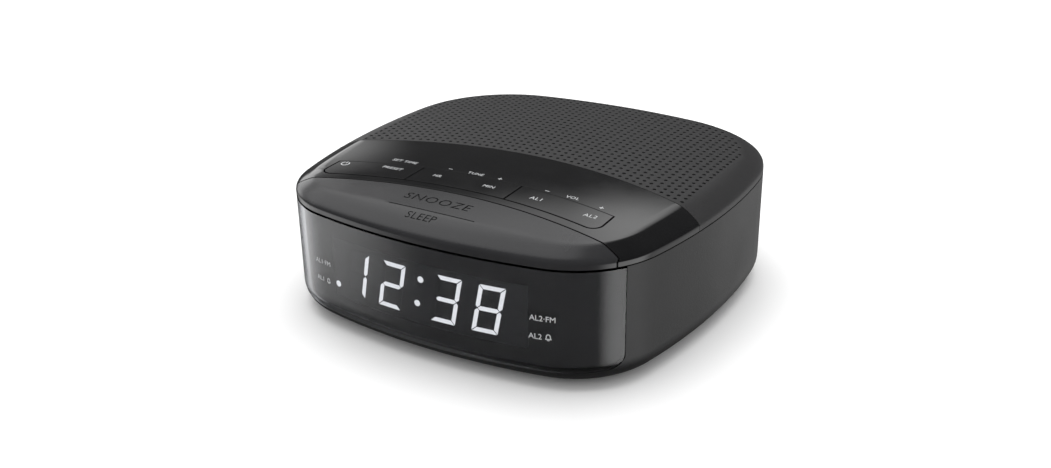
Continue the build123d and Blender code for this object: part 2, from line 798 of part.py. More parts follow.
def ribbon_cable():
    """Flat ribbon between the display board and the main board."""
    z = MAIN_PCB_Z + PCB_THICK + 1.6
    back_y = DISPLAY_BACK_Y + PCB_THICK
    upper = [(back_y, z + 0.2), (-50.0, z + 0.2), (-47.0, z + 2.0), (-44.0, z + 0.2), (-41.0, z + 0.2)]
    lower = [(y, v - 0.4) for y, v in reversed(upper)]
    face = make_face(Polyline(*(upper + lower), close=True))
    return extrude(Plane.YZ.offset(-12.0) * face, 24.0)


def speaker_leads():
    """Two thin leads from the main board up to the speaker's terminals."""
    leads = []
    base = MAIN_PCB_Z + PCB_THICK + 3.55
    end_y = SPEAKER_Y - 15.6
    for offset in (-1.2, 1.2):
        path = FilletPolyline(
            (11.0 + offset, -2.0, base), (11.0 + offset, -2.0, base + 4.8),
            (6.0 + offset, end_y, base + 4.8), (6.0 + offset, end_y, 22.75),
            radius=1.6,
        )
        start = Plane(origin=path @ 0, z_dir=path % 0)
        leads.append(sweep(start * Circle(0.45), path=path))
    return Compound(children=leads)


# ================= backup battery =================

def coin_cell_holder():
    """Moulded ring that holds the backup cell."""
    body = block(BAY_X - 13.0, BAY_X + 13.0, BAY_Y - 11.6, BAY_Y + 11.6, 3.4, BAY_TOP_Z)
    body -= disc(CELL_RADIUS + 0.4, BAY_X, BAY_Y, 2, BAY_TOP_Z - 0.6)
    finger = block(BAY_X - 14, BAY_X - 6, BAY_Y - 3, BAY_Y + 3, 2, BAY_TOP_Z - 0.6)
    return body - finger


def coin_cell():
    """Backup cell, stepped like a real one."""
    low = BAY_TOP_Z - 0.9 - CELL_THICK
    body = disc(CELL_RADIUS, BAY_X, BAY_Y, low + 0.6, low + CELL_THICK)
    return body + disc(CELL_RADIUS - 1.2, BAY_X, BAY_Y, low, low + 0.7)


def cell_contacts():
    """Two sprung strips on the cell."""
    high = block(BAY_X - 3, BAY_X + 3, BAY_Y - 8, BAY_Y + 8, BAY_TOP_Z - 0.88, BAY_TOP_Z - 0.62)
    return high


def battery_door():
    """Cover of the battery bay, with a finger notch, a latch and two tongues."""
    x = BAY_LENGTH / 2 - MOVING_GAP
    y = BAY_WIDTH / 2 - MOVING_GAP
    plate = block(BAY_X - x, BAY_X + x, BAY_Y - y, BAY_Y + y, BASE_Z, BASE_Z + 1.5)
    plate = fillet(plate.edges().filter_by(Axis.Z), 1.5)
    notch = disc(5.0, BAY_X, BAY_Y + y + 1.5, BASE_Z - 1, BASE_Z + 0.7)
    plate -= notch
    for i in range(4):
        line_y = BAY_Y + y - 9.0 + 1.6 * i
        plate -= block(BAY_X - 6, BAY_X + 6, line_y, line_y + 0.6, BASE_Z - 1, BASE_Z + 0.35)
    for tongue_x in (BAY_X - 8.0, BAY_X + 8.0):
        edge_y = BAY_Y - y
        plate += block(tongue_x - 2, tongue_x + 2, edge_y, edge_y + 1.0, BASE_Z + 1, BASE_Z + 4.0)
    return plate


# ================= build =================

def speaker_pole():
    """Back plate and centre pole of the speaker's magnet."""
    body = disc(14.0, SPEAKER_X, SPEAKER_Y, 13.8, 15.6)
    return body + disc(6.0, SPEAKER_X, SPEAKER_Y, 15.6, 22.8)


def build_all():
    """Every node of the radio, by name."""
    parts = {
        "lower_cabinet": lower_cabinet(),
        "front_lens": front_lens(),
        "display_bezel": display_bezel(),
        "digit_reflector": digit_reflector(),
        "lit_segments": display_lights(True),
        "unlit_segments": display_lights(False),
        "display_pcb": display_pcb(),
        "snooze_button": snooze_button(),
        "control_panel": control_panel(),
        "key_carrier": key_carrier(),
        "key_pcb": key_pcb(),
        "tact_switches": tact_switches(),
        "key_pcb_screws": key_pcb_screws(),
        "grille_cover": grille_cover(),
        "speaker_basket": speaker_basket(),
        "speaker_top_plate": ring(14.0, 7.05, SPEAKER_X, SPEAKER_Y, 20.8, 22.8),
        "speaker_magnet": ring(15.0, 8.0, SPEAKER_X, SPEAKER_Y, 15.6, 20.8),
        "speaker_pole": speaker_pole(),
        "speaker_cone": speaker_cone(),
        "dust_cap": dust_cap(),
        "voice_coil": ring(6.75, 6.35, SPEAKER_X, SPEAKER_Y, 18.6, 27.0),
        "surround": turned([(21.6, 35.4), (24.4, 37.3), (24.4, 37.8), (21.6, 35.8)]),
        "spider": turned([(6.8, 25.6), (15.0, 24.2), (15.3, 24.2), (15.3, 24.6), (6.8, 26.1)]),
        "speaker_gasket": ring(28.1, 25.0, SPEAKER_X, SPEAKER_Y, SPEAKER_RIM_Z, 38.65),
        "speaker_screws": speaker_screws(),
        "main_pcb": main_pcb(),
        "main_pcb_screws": main_pcb_screws(),
        "tuner_can": tuner_can(),
        "ic_chips": ic_chips(),
        "capacitors": capacitors(),
        "transformer": transformer(),
        "board_connectors": board_connectors(),
        "ribbon_cable": ribbon_cable(),
        "speaker_leads": speaker_leads(),
        "coin_cell_holder": coin_cell_holder(),
        "coin_cell": coin_cell(),
        "cell_contacts": cell_contacts(),
        "battery_door": battery_door(),
        "cord_grommet": gland(CORD_X, CORD_BORE_RADIUS, 3.55, 5.2),
        "aerial_grommet": gland(-CORD_X, AERIAL_BORE_RADIUS, 2.05, 3.7),
        "rubber_feet": rubber_feet(),
        "case_screws": case_screws(),
    }
    for name in KEYS:
        parts[name] = rocker_key(name)
    return parts


os.makedirs("parts", exist_ok=True)
for node, shape in build_all().items():
    export_step(shape, "parts/" + node + ".step")
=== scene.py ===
import math

import bpy
import numpy as np
from mathutils import Matrix, Vector
from mathutils.geometry import delaunay_2d_cdt


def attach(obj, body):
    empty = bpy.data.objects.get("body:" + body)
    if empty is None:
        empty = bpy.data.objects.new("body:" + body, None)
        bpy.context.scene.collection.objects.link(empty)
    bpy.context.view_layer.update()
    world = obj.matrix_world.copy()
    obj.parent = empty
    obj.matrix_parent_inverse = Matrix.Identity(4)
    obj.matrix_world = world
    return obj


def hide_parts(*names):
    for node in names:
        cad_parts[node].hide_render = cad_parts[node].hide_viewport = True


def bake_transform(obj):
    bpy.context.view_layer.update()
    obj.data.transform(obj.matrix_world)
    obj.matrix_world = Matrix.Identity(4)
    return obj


# Visual model of the clock radio. Lengths are in millimetres and become metres in the meshes.

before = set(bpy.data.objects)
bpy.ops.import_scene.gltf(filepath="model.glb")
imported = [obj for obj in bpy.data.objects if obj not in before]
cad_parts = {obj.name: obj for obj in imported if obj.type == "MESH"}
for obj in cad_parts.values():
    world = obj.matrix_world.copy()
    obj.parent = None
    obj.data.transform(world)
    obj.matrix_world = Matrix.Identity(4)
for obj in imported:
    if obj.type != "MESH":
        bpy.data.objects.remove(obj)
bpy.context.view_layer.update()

MM = 0.001

# ---- case outline and heights, as in the CAD ----
WIDTH = 134.0
DEPTH = 131.0
FRONT_RADIUS = 202.5
BACK_RADIUS = 197.6
SIDE_RADIUS = 203.7
SIDE_CENTRE_Y = 8.1
FRONT_CORNER = 30.0
BACK_CORNER = 41.6
OUTLINE_SHRINK = 0.02
BASE_ROUND = 7.0
BASE_Z = 1.3
UNDER_Z = 37.1
CROWN_Z = 44.28
CROWN_RADIUS = 1050.0
CROWN_BLEND = 0.3
SHELL_DEPTH = 1.95

# rolled upper edge: inset, height and slope
ROLL_INSET = np.array([0.3, 1.2, 3.2, 5.4, 7.8, 16.0])
ROLL_Z = np.array([39.2, 39.85, 40.85, 41.8, 42.5, 44.6])
ROLL_SLOPE = np.array([0.95, 0.58, 0.46, 0.36, 0.27, 0.25])

# rows from the top sheet down a side wall: rim inset, seam inset, rim height, seam drop,
# and how far the surface faces outwards and upwards there
WALL_ROWS = [
    (0.3, 0.14, 39.2, 0.0, None),
    (0.1, 0.04, 38.85, 0.05, (0.85, 0.5)),
    (0.0, 0.0, 38.3, 0.17, (1.0, 0.05)),
    (0.0, 0.0, 37.25, SHELL_DEPTH - 0.14, (1.0, 0.0)),
    (0.1, 0.04, 37.12, SHELL_DEPTH - 0.03, (0.7, -0.7)),
    (0.3, 0.14, 37.1, SHELL_DEPTH, (0.1, -1.0)),
]

# ---- parts seen from above ----
SNOOZE_ARC_Y = -222.0
SNOOZE_ARC_RADIUS = 180.0
SNOOZE_HALF = 55.3
HALF_GAP = 0.175
COVER_ARC_Y = -163.5
COVER_ARC_RADIUS = 158.0
HALF_SEAM = 0.06
KEY_FRONT_RADIUS = 183.7
KEY_BACK_RADIUS = 193.9
KEY_GAP = 0.4
# the gap behind the keys is this much narrower than the CAD's, so that it shows as a thin line
REAR_CLOSER = 0.28
KEY_CORNER = 3.0
KEYS = {
    "key_power": (-50.9, -22.6, "key_left"),
    "key_time": (-22.1, 12.0, "key_middle"),
    "key_alarm": (12.5, 44.9, "key_right"),
}
KEY_PIVOT_Z = 38.8
KEY_SWITCH_SHARE = 0.62
HOLE_PITCH_X = 2.6
HOLE_PITCH_Y = 2.7
HOLE_RADIUS = 0.6
HOLE_SIDES = 10
HOLE_EDGE = 0.09
# rows of a sound hole from its upper edge down: growth, drop and tilt
HOLE_ROWS = [
    (HOLE_EDGE, 0.0, None), (0.02, 0.07, (0.7, 0.7)), (0.0, 0.16, (1.0, 0.1)),
    (0.0, SHELL_DEPTH - 0.05, (1.0, 0.0)), (HOLE_EDGE, SHELL_DEPTH, (0.5, -0.8)),
]
FIRST_HOLE_ROW = 2.2
FIELD_INSET = 7.3
LIP_INSET = 2.45
LIP_WALL = 1.4
LIP_Z = 33.6
CASE_SCREWS = [(-54.0, -30.0), (54.0, -30.0), (-46.0, 42.0), (46.0, 42.0)]
KEY_BOSSES = [(-42.0, -27.0), (42.0, -27.0)]
# radius, bore and lower end of a boss
SCREW_BOSS = (3.6, 1.5, 24.2)
KEY_BOSS = (2.4, 1.0, 33.6)
# ledge of the panel along the snooze gap
LEDGE_THICK = 1.4
LEDGE_CLEAR = 0.02
LEDGE_Z = 37.0
LIP_POINT_STEP = 4.0
# how far a lip, and a post or skirt, reach into the shell they hang from
LIP_ROOTED = 0.25
ROOTED = 0.3
SPEAKER = (0.0, 24.0)
POST_SIDES = 28

# ---- lens ----
LENS_HALF = 57.0
LENS_THICK = 1.88
LENS_MID_Z = 5.0
LENS_END_Z = 6.3
LENS_TOP_Z = 36.5
LENS_CORNER = 4.0

# ---- lettering ----
PRINT_THIN = 0.004
PRINT_SPREAD = 1.08
INK_PROUD = 0.025
INK_SUNK = 0.08
CARVE_DEPTH = 0.25
CAP_SHARE = 0.73

# a wave texture's scale for bands one unit wide
BAND_SCALE = 0.314


# ================= case outline =================

def corner_centre(end, end_radius, corner_radius):
    """Centre of the corner arc that runs smoothly into an end arc and the side arc."""
    a = end_radius - corner_radius
    b = SIDE_RADIUS - corner_radius
    dx = SIDE_CENTRE[0] - end[0]
    dy = SIDE_CENTRE[1] - end[1]
    apart = math.hypot(dx, dy)
    along = (a * a - b * b + apart * apart) / (2 * apart)
    across = math.sqrt(a * a - along * along)
    found = []
    for side in (-1, 1):
        x = end[0] + (along * dx - side * across * dy) / apart
        y = end[1] + (along * dy + side * across * dx) / apart
        found.append((x, y))
    return max(found)


def heading(start, end):
    """Direction from one point to another, in radians."""
    return math.atan2(end[1] - start[1], end[0] - start[0])


FRONT_CENTRE = (0.0, FRONT_RADIUS - DEPTH / 2)
BACK_CENTRE = (0.0, DEPTH / 2 - BACK_RADIUS)
SIDE_CENTRE = (WIDTH / 2 - SIDE_RADIUS, SIDE_CENTRE_Y)
FRONT_CORNER_AT = corner_centre(FRONT_CENTRE, FRONT_RADIUS, FRONT_CORNER)
BACK_CORNER_AT = corner_centre(BACK_CENTRE, BACK_RADIUS, BACK_CORNER)
TURNS = [
    -math.pi / 2,
    heading(FRONT_CENTRE, FRONT_CORNER_AT),
    heading(SIDE_CENTRE, FRONT_CORNER_AT),
    heading(SIDE_CENTRE, BACK_CORNER_AT),
    heading(BACK_CENTRE, BACK_CORNER_AT),
    math.pi / 2,
]
CENTRES = [FRONT_CENTRE, FRONT_CORNER_AT, SIDE_CENTRE, BACK_CORNER_AT, BACK_CENTRE]
RADII = [FRONT_RADIUS, FRONT_CORNER, SIDE_RADIUS, BACK_CORNER, BACK_RADIUS]
# the five arcs of the right half: centre, radius, first and last direction they face
SECTORS = list(zip(CENTRES, RADII, TURNS[:-1], TURNS[1:]))
HALF_LENGTH = sum(radius * (last - first) for _, radius, first, last in SECTORS)


def outline_at(travel, inset):
    """Point and outward direction on the outline, by the way gone from the front middle."""
    travel = (travel + HALF_LENGTH) % (2 * HALF_LENGTH) - HALF_LENGTH
    side = -1.0 if travel < 0 else 1.0
    left = abs(travel)
    for centre, radius, first, last in SECTORS:
        length = radius * (last - first)
        if left <= length or last == SECTORS[-1][3]:
            turn = first + left / radius
            reach = radius - OUTLINE_SHRINK - inset
            across = math.cos(turn)
            ahead = math.sin(turn)
            point = (side * (centre[0] + reach * across), centre[1] + reach * ahead)
            return point, (side * across, ahead)
        left -= length


def inset_of(x, y):
    """How far inside the outline points are."""
    x = np.abs(np.asarray(x, float))
    y = np.asarray(y, float)
    inset = np.full(x.shape, 99.0)
    for centre, radius, first, last in SECTORS:
        dx = x - centre[0]
        dy = y - centre[1]
        turn = np.arctan2(dy, dx)
        facing = (turn >= first - 1e-6) & (turn <= last + 1e-6)
        here = radius - OUTLINE_SHRINK - np.hypot(dx, dy)
        inset = np.where(facing, np.minimum(inset, here), inset)
    return inset


def meeting(test, low, high):
    """Way along the outline where a test turns from false to true."""
    for _ in range(40):
        middle = (low + high) / 2
        if test(middle):
            high = middle
        else:
            low = middle
    return (low + high) / 2


def cut_travel(x, inset):
    """Way along the right half of the outline to a given x."""
    return meeting(lambda way: outline_at(way, inset)[0][0] > x, 40.0, 90.0)


def cover_travel(radius, inset):
    """Way along the right half of the outline to the seam of the grille cover."""
    def passed(way):
        x, y = outline_at(way, inset)[0]
        return math.hypot(x, y - COVER_ARC_Y) > radius
    return meeting(passed, 60.0, 150.0)


def rim_run(start, end, count, inset):
    """Evenly spaced points along a stretch of the outline."""
    ways = np.linspace(start, end, count)
    return [outline_at(way, inset)[0] for way in ways]


def arc_run(centre_y, radius, x_start, x_end, count):
    """Points along a seam arc whose centre is in front of the radio."""
    turns = np.linspace(math.asin(x_start / radius), math.asin(x_end / radius), count)
    return [(radius * math.sin(t), centre_y + radius * math.cos(t)) for t in turns]


# ================= top surface =================

def roll_height(inset):
    """Height of the rolled upper edge at an inset from the outline."""
    u = np.clip(inset, ROLL_INSET[0], ROLL_INSET[-1])
    i = np.clip(np.searchsorted(ROLL_INSET, u, side="right") - 1, 0, len(ROLL_INSET) - 2)
    step = ROLL_INSET[i + 1] - ROLL_INSET[i]
    t = (u - ROLL_INSET[i]) / step
    rise = (
        (2 * t ** 3 - 3 * t ** 2 + 1) * ROLL_Z[i]
        + (t ** 3 - 2 * t ** 2 + t) * step * ROLL_SLOPE[i]
        + (3 * t ** 2 - 2 * t ** 3) * ROLL_Z[i + 1]
        + (t ** 3 - t ** 2) * step * ROLL_SLOPE[i + 1]
    )
    beyond = np.maximum(inset - ROLL_INSET[-1], 0.0) * ROLL_SLOPE[-1]
    before = np.minimum(inset - ROLL_INSET[0], 0.0) * ROLL_SLOPE[0]
    return rise + beyond + before


def top_height(x, y):
    """Height of the upper surface: the rolled edge running smoothly into the crown."""
    x = np.asarray(x, float)
    y = np.asarray(y, float)
    roll = roll_height(inset_of(x, y))
    crown = CROWN_Z - CROWN_RADIUS + np.sqrt(CROWN_RADIUS ** 2 - x ** 2 - y ** 2)
    apart = np.clip(np.abs(roll - crown) / CROWN_BLEND, 0.0, 1.0)
    return np.minimum(roll, crown) - CROWN_BLEND * (1 - apart) ** 3 / 6


def top_facing(x, y):
    """Direction that the upper surface faces."""
    x = np.asarray(x, float)
    y = np.asarray(y, float)
    h = 0.05
    slope_x = (top_height(x + h, y) - top_height(x - h, y)) / (2 * h)
    slope_y = (top_height(x, y + h) - top_height(x, y - h)) / (2 * h)
    facing = np.stack([-slope_x, -slope_y, np.ones_like(slope_x)], axis=-1)
    return facing / np.linalg.norm(facing, axis=-1, keepdims=True)


# ================= mesh building =================

def unit(vector):
    """Vector of length one."""
    vector = np.asarray(vector, float)
    return vector / max(np.linalg.norm(vector), 1e-12)


def linked(name, data):
    """New object in the scene."""
    made = bpy.data.objects.new(name, data)
    bpy.context.scene.collection.objects.link(made)
    return made


def circle(x, y, radius, count, way=1):
    """Points round a circle, anticlockwise, or clockwise for a way of -1."""
    turns = [way * 2 * math.pi * i / count for i in range(count)]
    return [(x + radius * math.cos(t), y + radius * math.sin(t)) for t in turns]


class Skin:
    """Points, faces, the direction of each face corner, and the material of each face."""

    def __init__(self):
        self.points = []
        self.faces = []
        self.facings = []
        self.paints = []

    def add(self, points):
        first = len(self.points)
        self.points.extend(tuple(float(v) for v in p) for p in points)
        return list(range(first, len(self.points)))

    def lift(self, points, heights):
        """Add flat points at the given heights."""
        return self.add([(x, y, z) for (x, y), z in zip(points, heights)])

    def face(self, corners, facings, paint=0):
        self.faces.append(tuple(corners))
        self.facings.extend(tuple(float(v) for v in f) for f in facings)
        self.paints.append(paint)

    def flat_face(self, corners, paint=0):
        a, b, c = (np.array(self.points[i]) for i in corners[:3])
        facing = unit(np.cross(b - a, c - b))
        self.face(corners, [facing] * len(corners), paint)

    def object(self, name, body, materials):
        mesh = bpy.data.meshes.new(name)
        points = [(x * MM, y * MM, z * MM) for x, y, z in self.points]
        mesh.from_pydata(points, [], self.faces)
        mesh.polygons.foreach_set("use_smooth", [True] * len(self.faces))
        mesh.polygons.foreach_set("material_index", self.paints)
        mesh.normals_split_custom_set(self.facings)
        for material in materials:
            mesh.materials.append(material)
        made = linked(name, mesh)
        if body:
            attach(made, body)
        return made


def filled(loops, spots, cuts=()):
    """Triangles between closed loops, leaving out the cut outlines. Corners count through
    the loops, then the spots, then the points of the cuts."""
    points = []
    edges = []
    for loop in loops:
        first = len(points)
        count = len(loop)
        points.extend(loop)
        edges.extend((first + i, first + (i + 1) % count) for i in range(count))
    points.extend(spots)
    for cut in cuts:
        first = len(points)
        points.extend(cut["points"])
        edges.extend((first + i, first + j) for i, j in cut["rim"])
    made = delaunay_2d_cdt([Vector(p) for p in points], edges, [], 0, 1e-6, True)
    origin = [ids[0] if ids else None for ids in made[3]]
    held = {frozenset(edge) for edge, source in zip(made[1], made[4]) if source}
    return [tuple(origin[i] for i in face) for face in inside_faces(made[2], held)]


def inside_faces(faces, held):
    """Faces that are inside an odd number of outlines. Stepping over a held edge goes in or out."""
    beside = {}
    for number, face in enumerate(faces):
        for i, j in zip(face, face[1:] + face[:1]):
            beside.setdefault(frozenset((i, j)), []).append(number)
    inside = {}
    waiting = []
    for edge, numbers in beside.items():
        if len(numbers) == 1 and numbers[0] not in inside:
            inside[numbers[0]] = edge in held
            waiting.append(numbers[0])
    while waiting:
        number = waiting.pop()
        face = faces[number]
        for i, j in zip(face, face[1:] + face[:1]):
            edge = frozenset((i, j))
            for other in beside[edge]:
                if other not in inside:
                    inside[other] = inside[number] != (edge in held)
                    waiting.append(other)
    return [face for number, face in enumerate(faces) if inside[number]]


def edge_facings(loop):
    """Outward direction at both ends of each edge, kept sharp where the loop turns sharply."""
    count = len(loop)
    points = np.array(loop, float)
    along = np.roll(points, -1, axis=0) - points
    along /= np.maximum(np.linalg.norm(along, axis=1, keepdims=True), 1e-9)
    outward = np.stack([along[:, 1], -along[:, 0]], axis=1)
    pairs = []
    for i in range(count):
        before = outward[i - 1]
        here = outward[i]
        after = outward[(i + 1) % count]
        start = unit(before + here) if before @ here > 0.8 else here
        end = unit(here + after) if here @ after > 0.8 else here
        pairs.append((start, end))
    return pairs


def wall(skin, rows, outward, tilts):
    """Strips of faces down through rows of points. Each tilt is the outward and upward
    part of the surface direction at its row, or the directions themselves."""
    count = len(rows[0])
    for k in range(len(rows) - 1):
        for i in range(count):
            j = (i + 1) % count
            facings = []
            for row, corner, out in (
                (k, i, outward[i][0]), (k + 1, i, outward[i][0]),
                (k + 1, j, outward[i][1]), (k, j, outward[i][1]),
            ):
                tilt = tilts[row]
                if isinstance(tilt, tuple):
                    facings.append(unit((out[0] * tilt[0], out[1] * tilt[0], tilt[1])))
                else:
                    facings.append(tilt[corner])
            corners = (rows[k][i], rows[k + 1][i], rows[k + 1][j], rows[k][j])
            skin.face(corners, facings)


def moulded(skin, boundaries, spots, cuts=()):
    """Thin domed plate: top sheet, underside, and the walls round every boundary.
    A boundary gives its loop at each row, the heights there and the tilts."""
    tops = [boundary["loops"][0] for boundary in boundaries]
    flat = [point for loop in tops for point in loop] + list(spots)
    x, y = np.array(flat).T
    height = top_height(x, y)
    facing = top_facing(x, y)
    top = skin.lift(flat, height)
    under = skin.lift(flat, np.maximum(height - SHELL_DEPTH, UNDER_Z))
    corners = list(top)
    facings = list(facing)
    for cut in cuts:
        cut_x, cut_y = np.array(cut["points"]).T
        cut["top"] = skin.lift(cut["points"], top_height(cut_x, cut_y))
        cut["facing"] = top_facing(cut_x, cut_y)
        corners += cut["top"]
        facings += list(cut["facing"])
    sheet = filled(tops, spots, cuts)
    for face in sheet:
        skin.face([corners[i] for i in face], [facings[i] for i in face])
    below = filled(tops, spots) if cuts else sheet
    for face in below:
        skin.face([under[i] for i in face[::-1]], [-facing[i] for i in face[::-1]])
    first = 0
    for boundary in boundaries:
        last = first + len(boundary["loops"][0])
        rows = [top[first:last]]
        for loop, heights in list(zip(boundary["loops"], boundary["heights"]))[1:-1]:
            rows.append(skin.lift(loop, heights))
        rows.append(under[first:last])
        tilts = [facing[first:last], *boundary["tilts"][1:]]
        wall(skin, rows, edge_facings(boundary["loops"][2]), tilts)
        first = last
    for cut in cuts:
        carve(skin, cut)


def heights_down(loop, drops):
    """Heights of the rows of a side wall below a loop, by their drop from the top sheet."""
    height = top_height(*np.array(loop).T)
    under = np.maximum(height - SHELL_DEPTH, UNDER_Z)
    return [
        under + (SHELL_DEPTH - drop) if drop > SHELL_DEPTH / 2 else height - drop
        for drop in drops
    ]


def edge_boundary(outline, spans):
    """Boundary with the rolled rim on some spans of its points and a seam edge on the others.
    The outline gives the loop for a rim inset and a seam inset."""
    rims, seams, rim_heights, drops, tilts = zip(*WALL_ROWS)
    loops = [outline(rim, seam) for rim, seam in zip(rims, seams)]
    on_rim = np.array([any(a <= i < b for a, b in spans) for i in range(len(loops[0]))])
    heights = [
        np.where(on_rim, rim_z, seam_z)
        for rim_z, seam_z in zip(rim_heights, heights_down(loops[0], drops))
    ]
    return {"loops": loops, "heights": heights, "tilts": tilts}


def hole_boundary(rows):
    """Boundary of an opening. A row gives its loop, its drop from the surface and its tilt."""
    loops, drops, tilts = zip(*rows)
    return {"loops": loops, "heights": heights_down(loops[0], drops), "tilts": tilts}


def rim_spots(keep):
    """Points in rows along the rolled edge, where they are inside a part."""
    spots = []
    for inset in (0.6, 1.0, 1.5, 2.2, 3.0, 4.0, 5.2, 6.5, 8.0, 10.0, 12.5):
        spacing = 1.6 if inset < 3 else 2.4
        count = int(2 * HALF_LENGTH / spacing)
        shift = 0.5 * (int(inset * 10) % 2)
        for i in range(count):
            spots.append(outline_at((i + shift) * 2 * HALF_LENGTH / count, inset)[0])
    for i in range(-18, 19):
        for j in range(-18, 19):
            point = (3.1 * i + 1.55 * (j % 2), 2.9 * j + 0.4)
            if inset_of(*point) > 14.0:
                spots.append(point)
    return [point for point in spots if keep(*point)]


# ================= posts, ribs and bars inside =================

def post(skin, x, y, radius, bore, low, high):
    """Round post or tube, with its ends closed."""
    around = circle(0.0, 0.0, 1.0, POST_SIDES)
    steps = [(i, (i + 1) % POST_SIDES) for i in range(POST_SIDES)]

    def ring(reach, z):
        return skin.add([(x + reach * a, y + reach * b, z) for a, b in around])

    def band(upper, lower, side):
        for i, j in steps:
            a, b = ((side * around[k][0], side * around[k][1], 0.0) for k in (i, j))
            skin.face((upper[i], lower[i], lower[j], upper[j])[::side], (a, a, b, b)[::side])

    outer_high = ring(radius, high)
    outer_low = ring(radius, low)
    band(outer_high, outer_low, 1)
    if not bore:
        skin.face(outer_high, [(0, 0, 1)] * POST_SIDES)
        skin.face(outer_low[::-1], [(0, 0, -1)] * POST_SIDES)
        return
    inner_high = ring(bore, high)
    inner_low = ring(bore, low)
    band(inner_high, inner_low, -1)
    for i, j in steps:
        over = (outer_high[i], outer_high[j], inner_high[j], inner_high[i])
        below = (inner_low[i], inner_low[j], outer_low[j], outer_low[i])
        skin.face(over, [(0, 0, 1)] * 4)
        skin.face(below, [(0, 0, -1)] * 4)


def slab(skin, x_low, x_high, y_low, y_high, z_low, z_high):
    """Small rib with square edges."""
    corners = [(x, y, z) for z in (z_low, z_high) for y in (y_low, y_high)
               for x in (x_low, x_high)]
    a, b, c, d, e, f, g, h = skin.add(corners)
    for quad in ((a, c, d, b), (e, f, h, g), (a, b, f, e), (c, g, h, d), (a, e, g, c),
                 (b, d, h, f)):
        skin.flat_face(quad)


def band_along(skin, outer, inner, low, high):
    """Upright strip between two open lines of points, from low to high."""
    count = len(outer)
    rows = []
    for line, z in ((outer, high), (outer, low), (inner, low), (inner, high)):
        rows.append(skin.lift(line, z if np.ndim(z) else [z] * count))
    for k in range(4):
        upper = rows[k]
        lower = rows[(k + 1) % 4]
        for i in range(count - 1):
            skin.flat_face((upper[i], lower[i], lower[i + 1], upper[i + 1]))
    skin.flat_face((rows[0][0], rows[3][0], rows[2][0], rows[1][0]))
    last = count - 1
    skin.flat_face((rows[0][last], rows[1][last], rows[2][last], rows[3][last]))


def lip(skin, start, end):
    """Locating lip under a stretch of the rim."""
    count = max(4, int((end - start) / LIP_POINT_STEP))
    outer = rim_run(start, end, count, LIP_INSET)
    inner = rim_run(start, end, count, LIP_INSET + LIP_WALL)
    x, y = np.array(outer).T
    band_along(skin, outer, inner, LIP_Z, list(top_height(x, y) - SHELL_DEPTH + LIP_ROOTED))


def under_at(x, y):
    """Height just inside the underside of the shell."""
    return float(top_height(x, y)) - SHELL_DEPTH + ROOTED


def skirt(skin, outer, inner, low):
    """Upright strip under the shell between two radii of the snooze button's arc centre."""
    edges = [
        arc_run(SNOOZE_ARC_Y, radius, SKIRT_HALF, -SKIRT_HALF, SKIRT_POINTS)
        for radius in (outer, inner)
    ]
    x, y = np.array(edges[0]).T
    band_along(skin, *edges, low, list(top_height(x, y) - SHELL_DEPTH + ROOTED))


# ================= lettering =================

def words(text, cap, x, y, thin=0.0, spread=1.0):
    """Flat lettering, centred on a point, as points, faces and rim edges."""
    curve = bpy.data.curves.new("words", "FONT")
    curve.body = text
    curve.size = cap / CAP_SHARE
    curve.align_x = "CENTER"
    curve.align_y = "CENTER"
    curve.space_character = spread
    curve.resolution_u = 3
    curve.offset = -thin
    holder = linked("words", curve)
    bpy.context.view_layer.update()
    mesh = bpy.data.meshes.new_from_object(holder)
    points = [(v.co.x, v.co.y) for v in mesh.vertices]
    faces = [tuple(p.vertices) for p in mesh.polygons]
    bpy.data.objects.remove(holder)
    bpy.data.curves.remove(curve)
    bpy.data.meshes.remove(mesh)
    middle = np.array([(min(c) + max(c)) / 2 for c in zip(*points)])
    points = [(px - middle[0] + x, py - middle[1] + y) for px, py in points]
    return mark(points, faces)


def mark(points, faces):
    """Flat shape with all its faces turned upwards and its rim edges listed."""
    turned = []
    for face in faces:
        area = 0.0
        for i, j in zip(face, face[1:] + face[:1]):
            area += points[i][0] * points[j][1] - points[j][0] * points[i][1]
        if abs(area) > 1e-9:
            turned.append(tuple(face) if area > 0 else tuple(reversed(face)))
    edges = set()
    for face in turned:
        for i, j in zip(face, face[1:] + face[:1]):
            edges.add((i, j))
    rim = sorted((i, j) for i, j in edges if (j, i) not in edges)
    return {"points": points, "faces": turned, "rim": rim}


def stroke(path, width, closed=False):
    """Flat line of even width along a path."""
    points = []
    faces = []
    count = len(path)
    for i, (x, y) in enumerate(path):
        ahead = path[(i + 1) % count] if closed or i < count - 1 else path[i]
        behind = path[i - 1] if closed or i > 0 else path[i]
        way = unit((ahead[0] - behind[0], ahead[1] - behind[1]))
        points.append((x - way[1] * width / 2, y + way[0] * width / 2))
        points.append((x + way[1] * width / 2, y - way[0] * width / 2))
    for i in range(count if closed else count - 1):
        j = (i + 1) % count
        faces.append((2 * i, 2 * i + 1, 2 * j + 1, 2 * j))
    return mark(points, faces)


def power_icon(x, y, size):
    """Ring open at the top with a short bar in the opening."""
    turns = [math.radians(125 + 290 * i / 20) for i in range(21)]
    ring = [(x + size * math.cos(t), y + size * math.sin(t)) for t in turns]
    bar = [(x, y + 0.25 * size), (x, y + 1.15 * size)]
    return [stroke(ring, 0.26 * size), stroke(bar, 0.26 * size)]


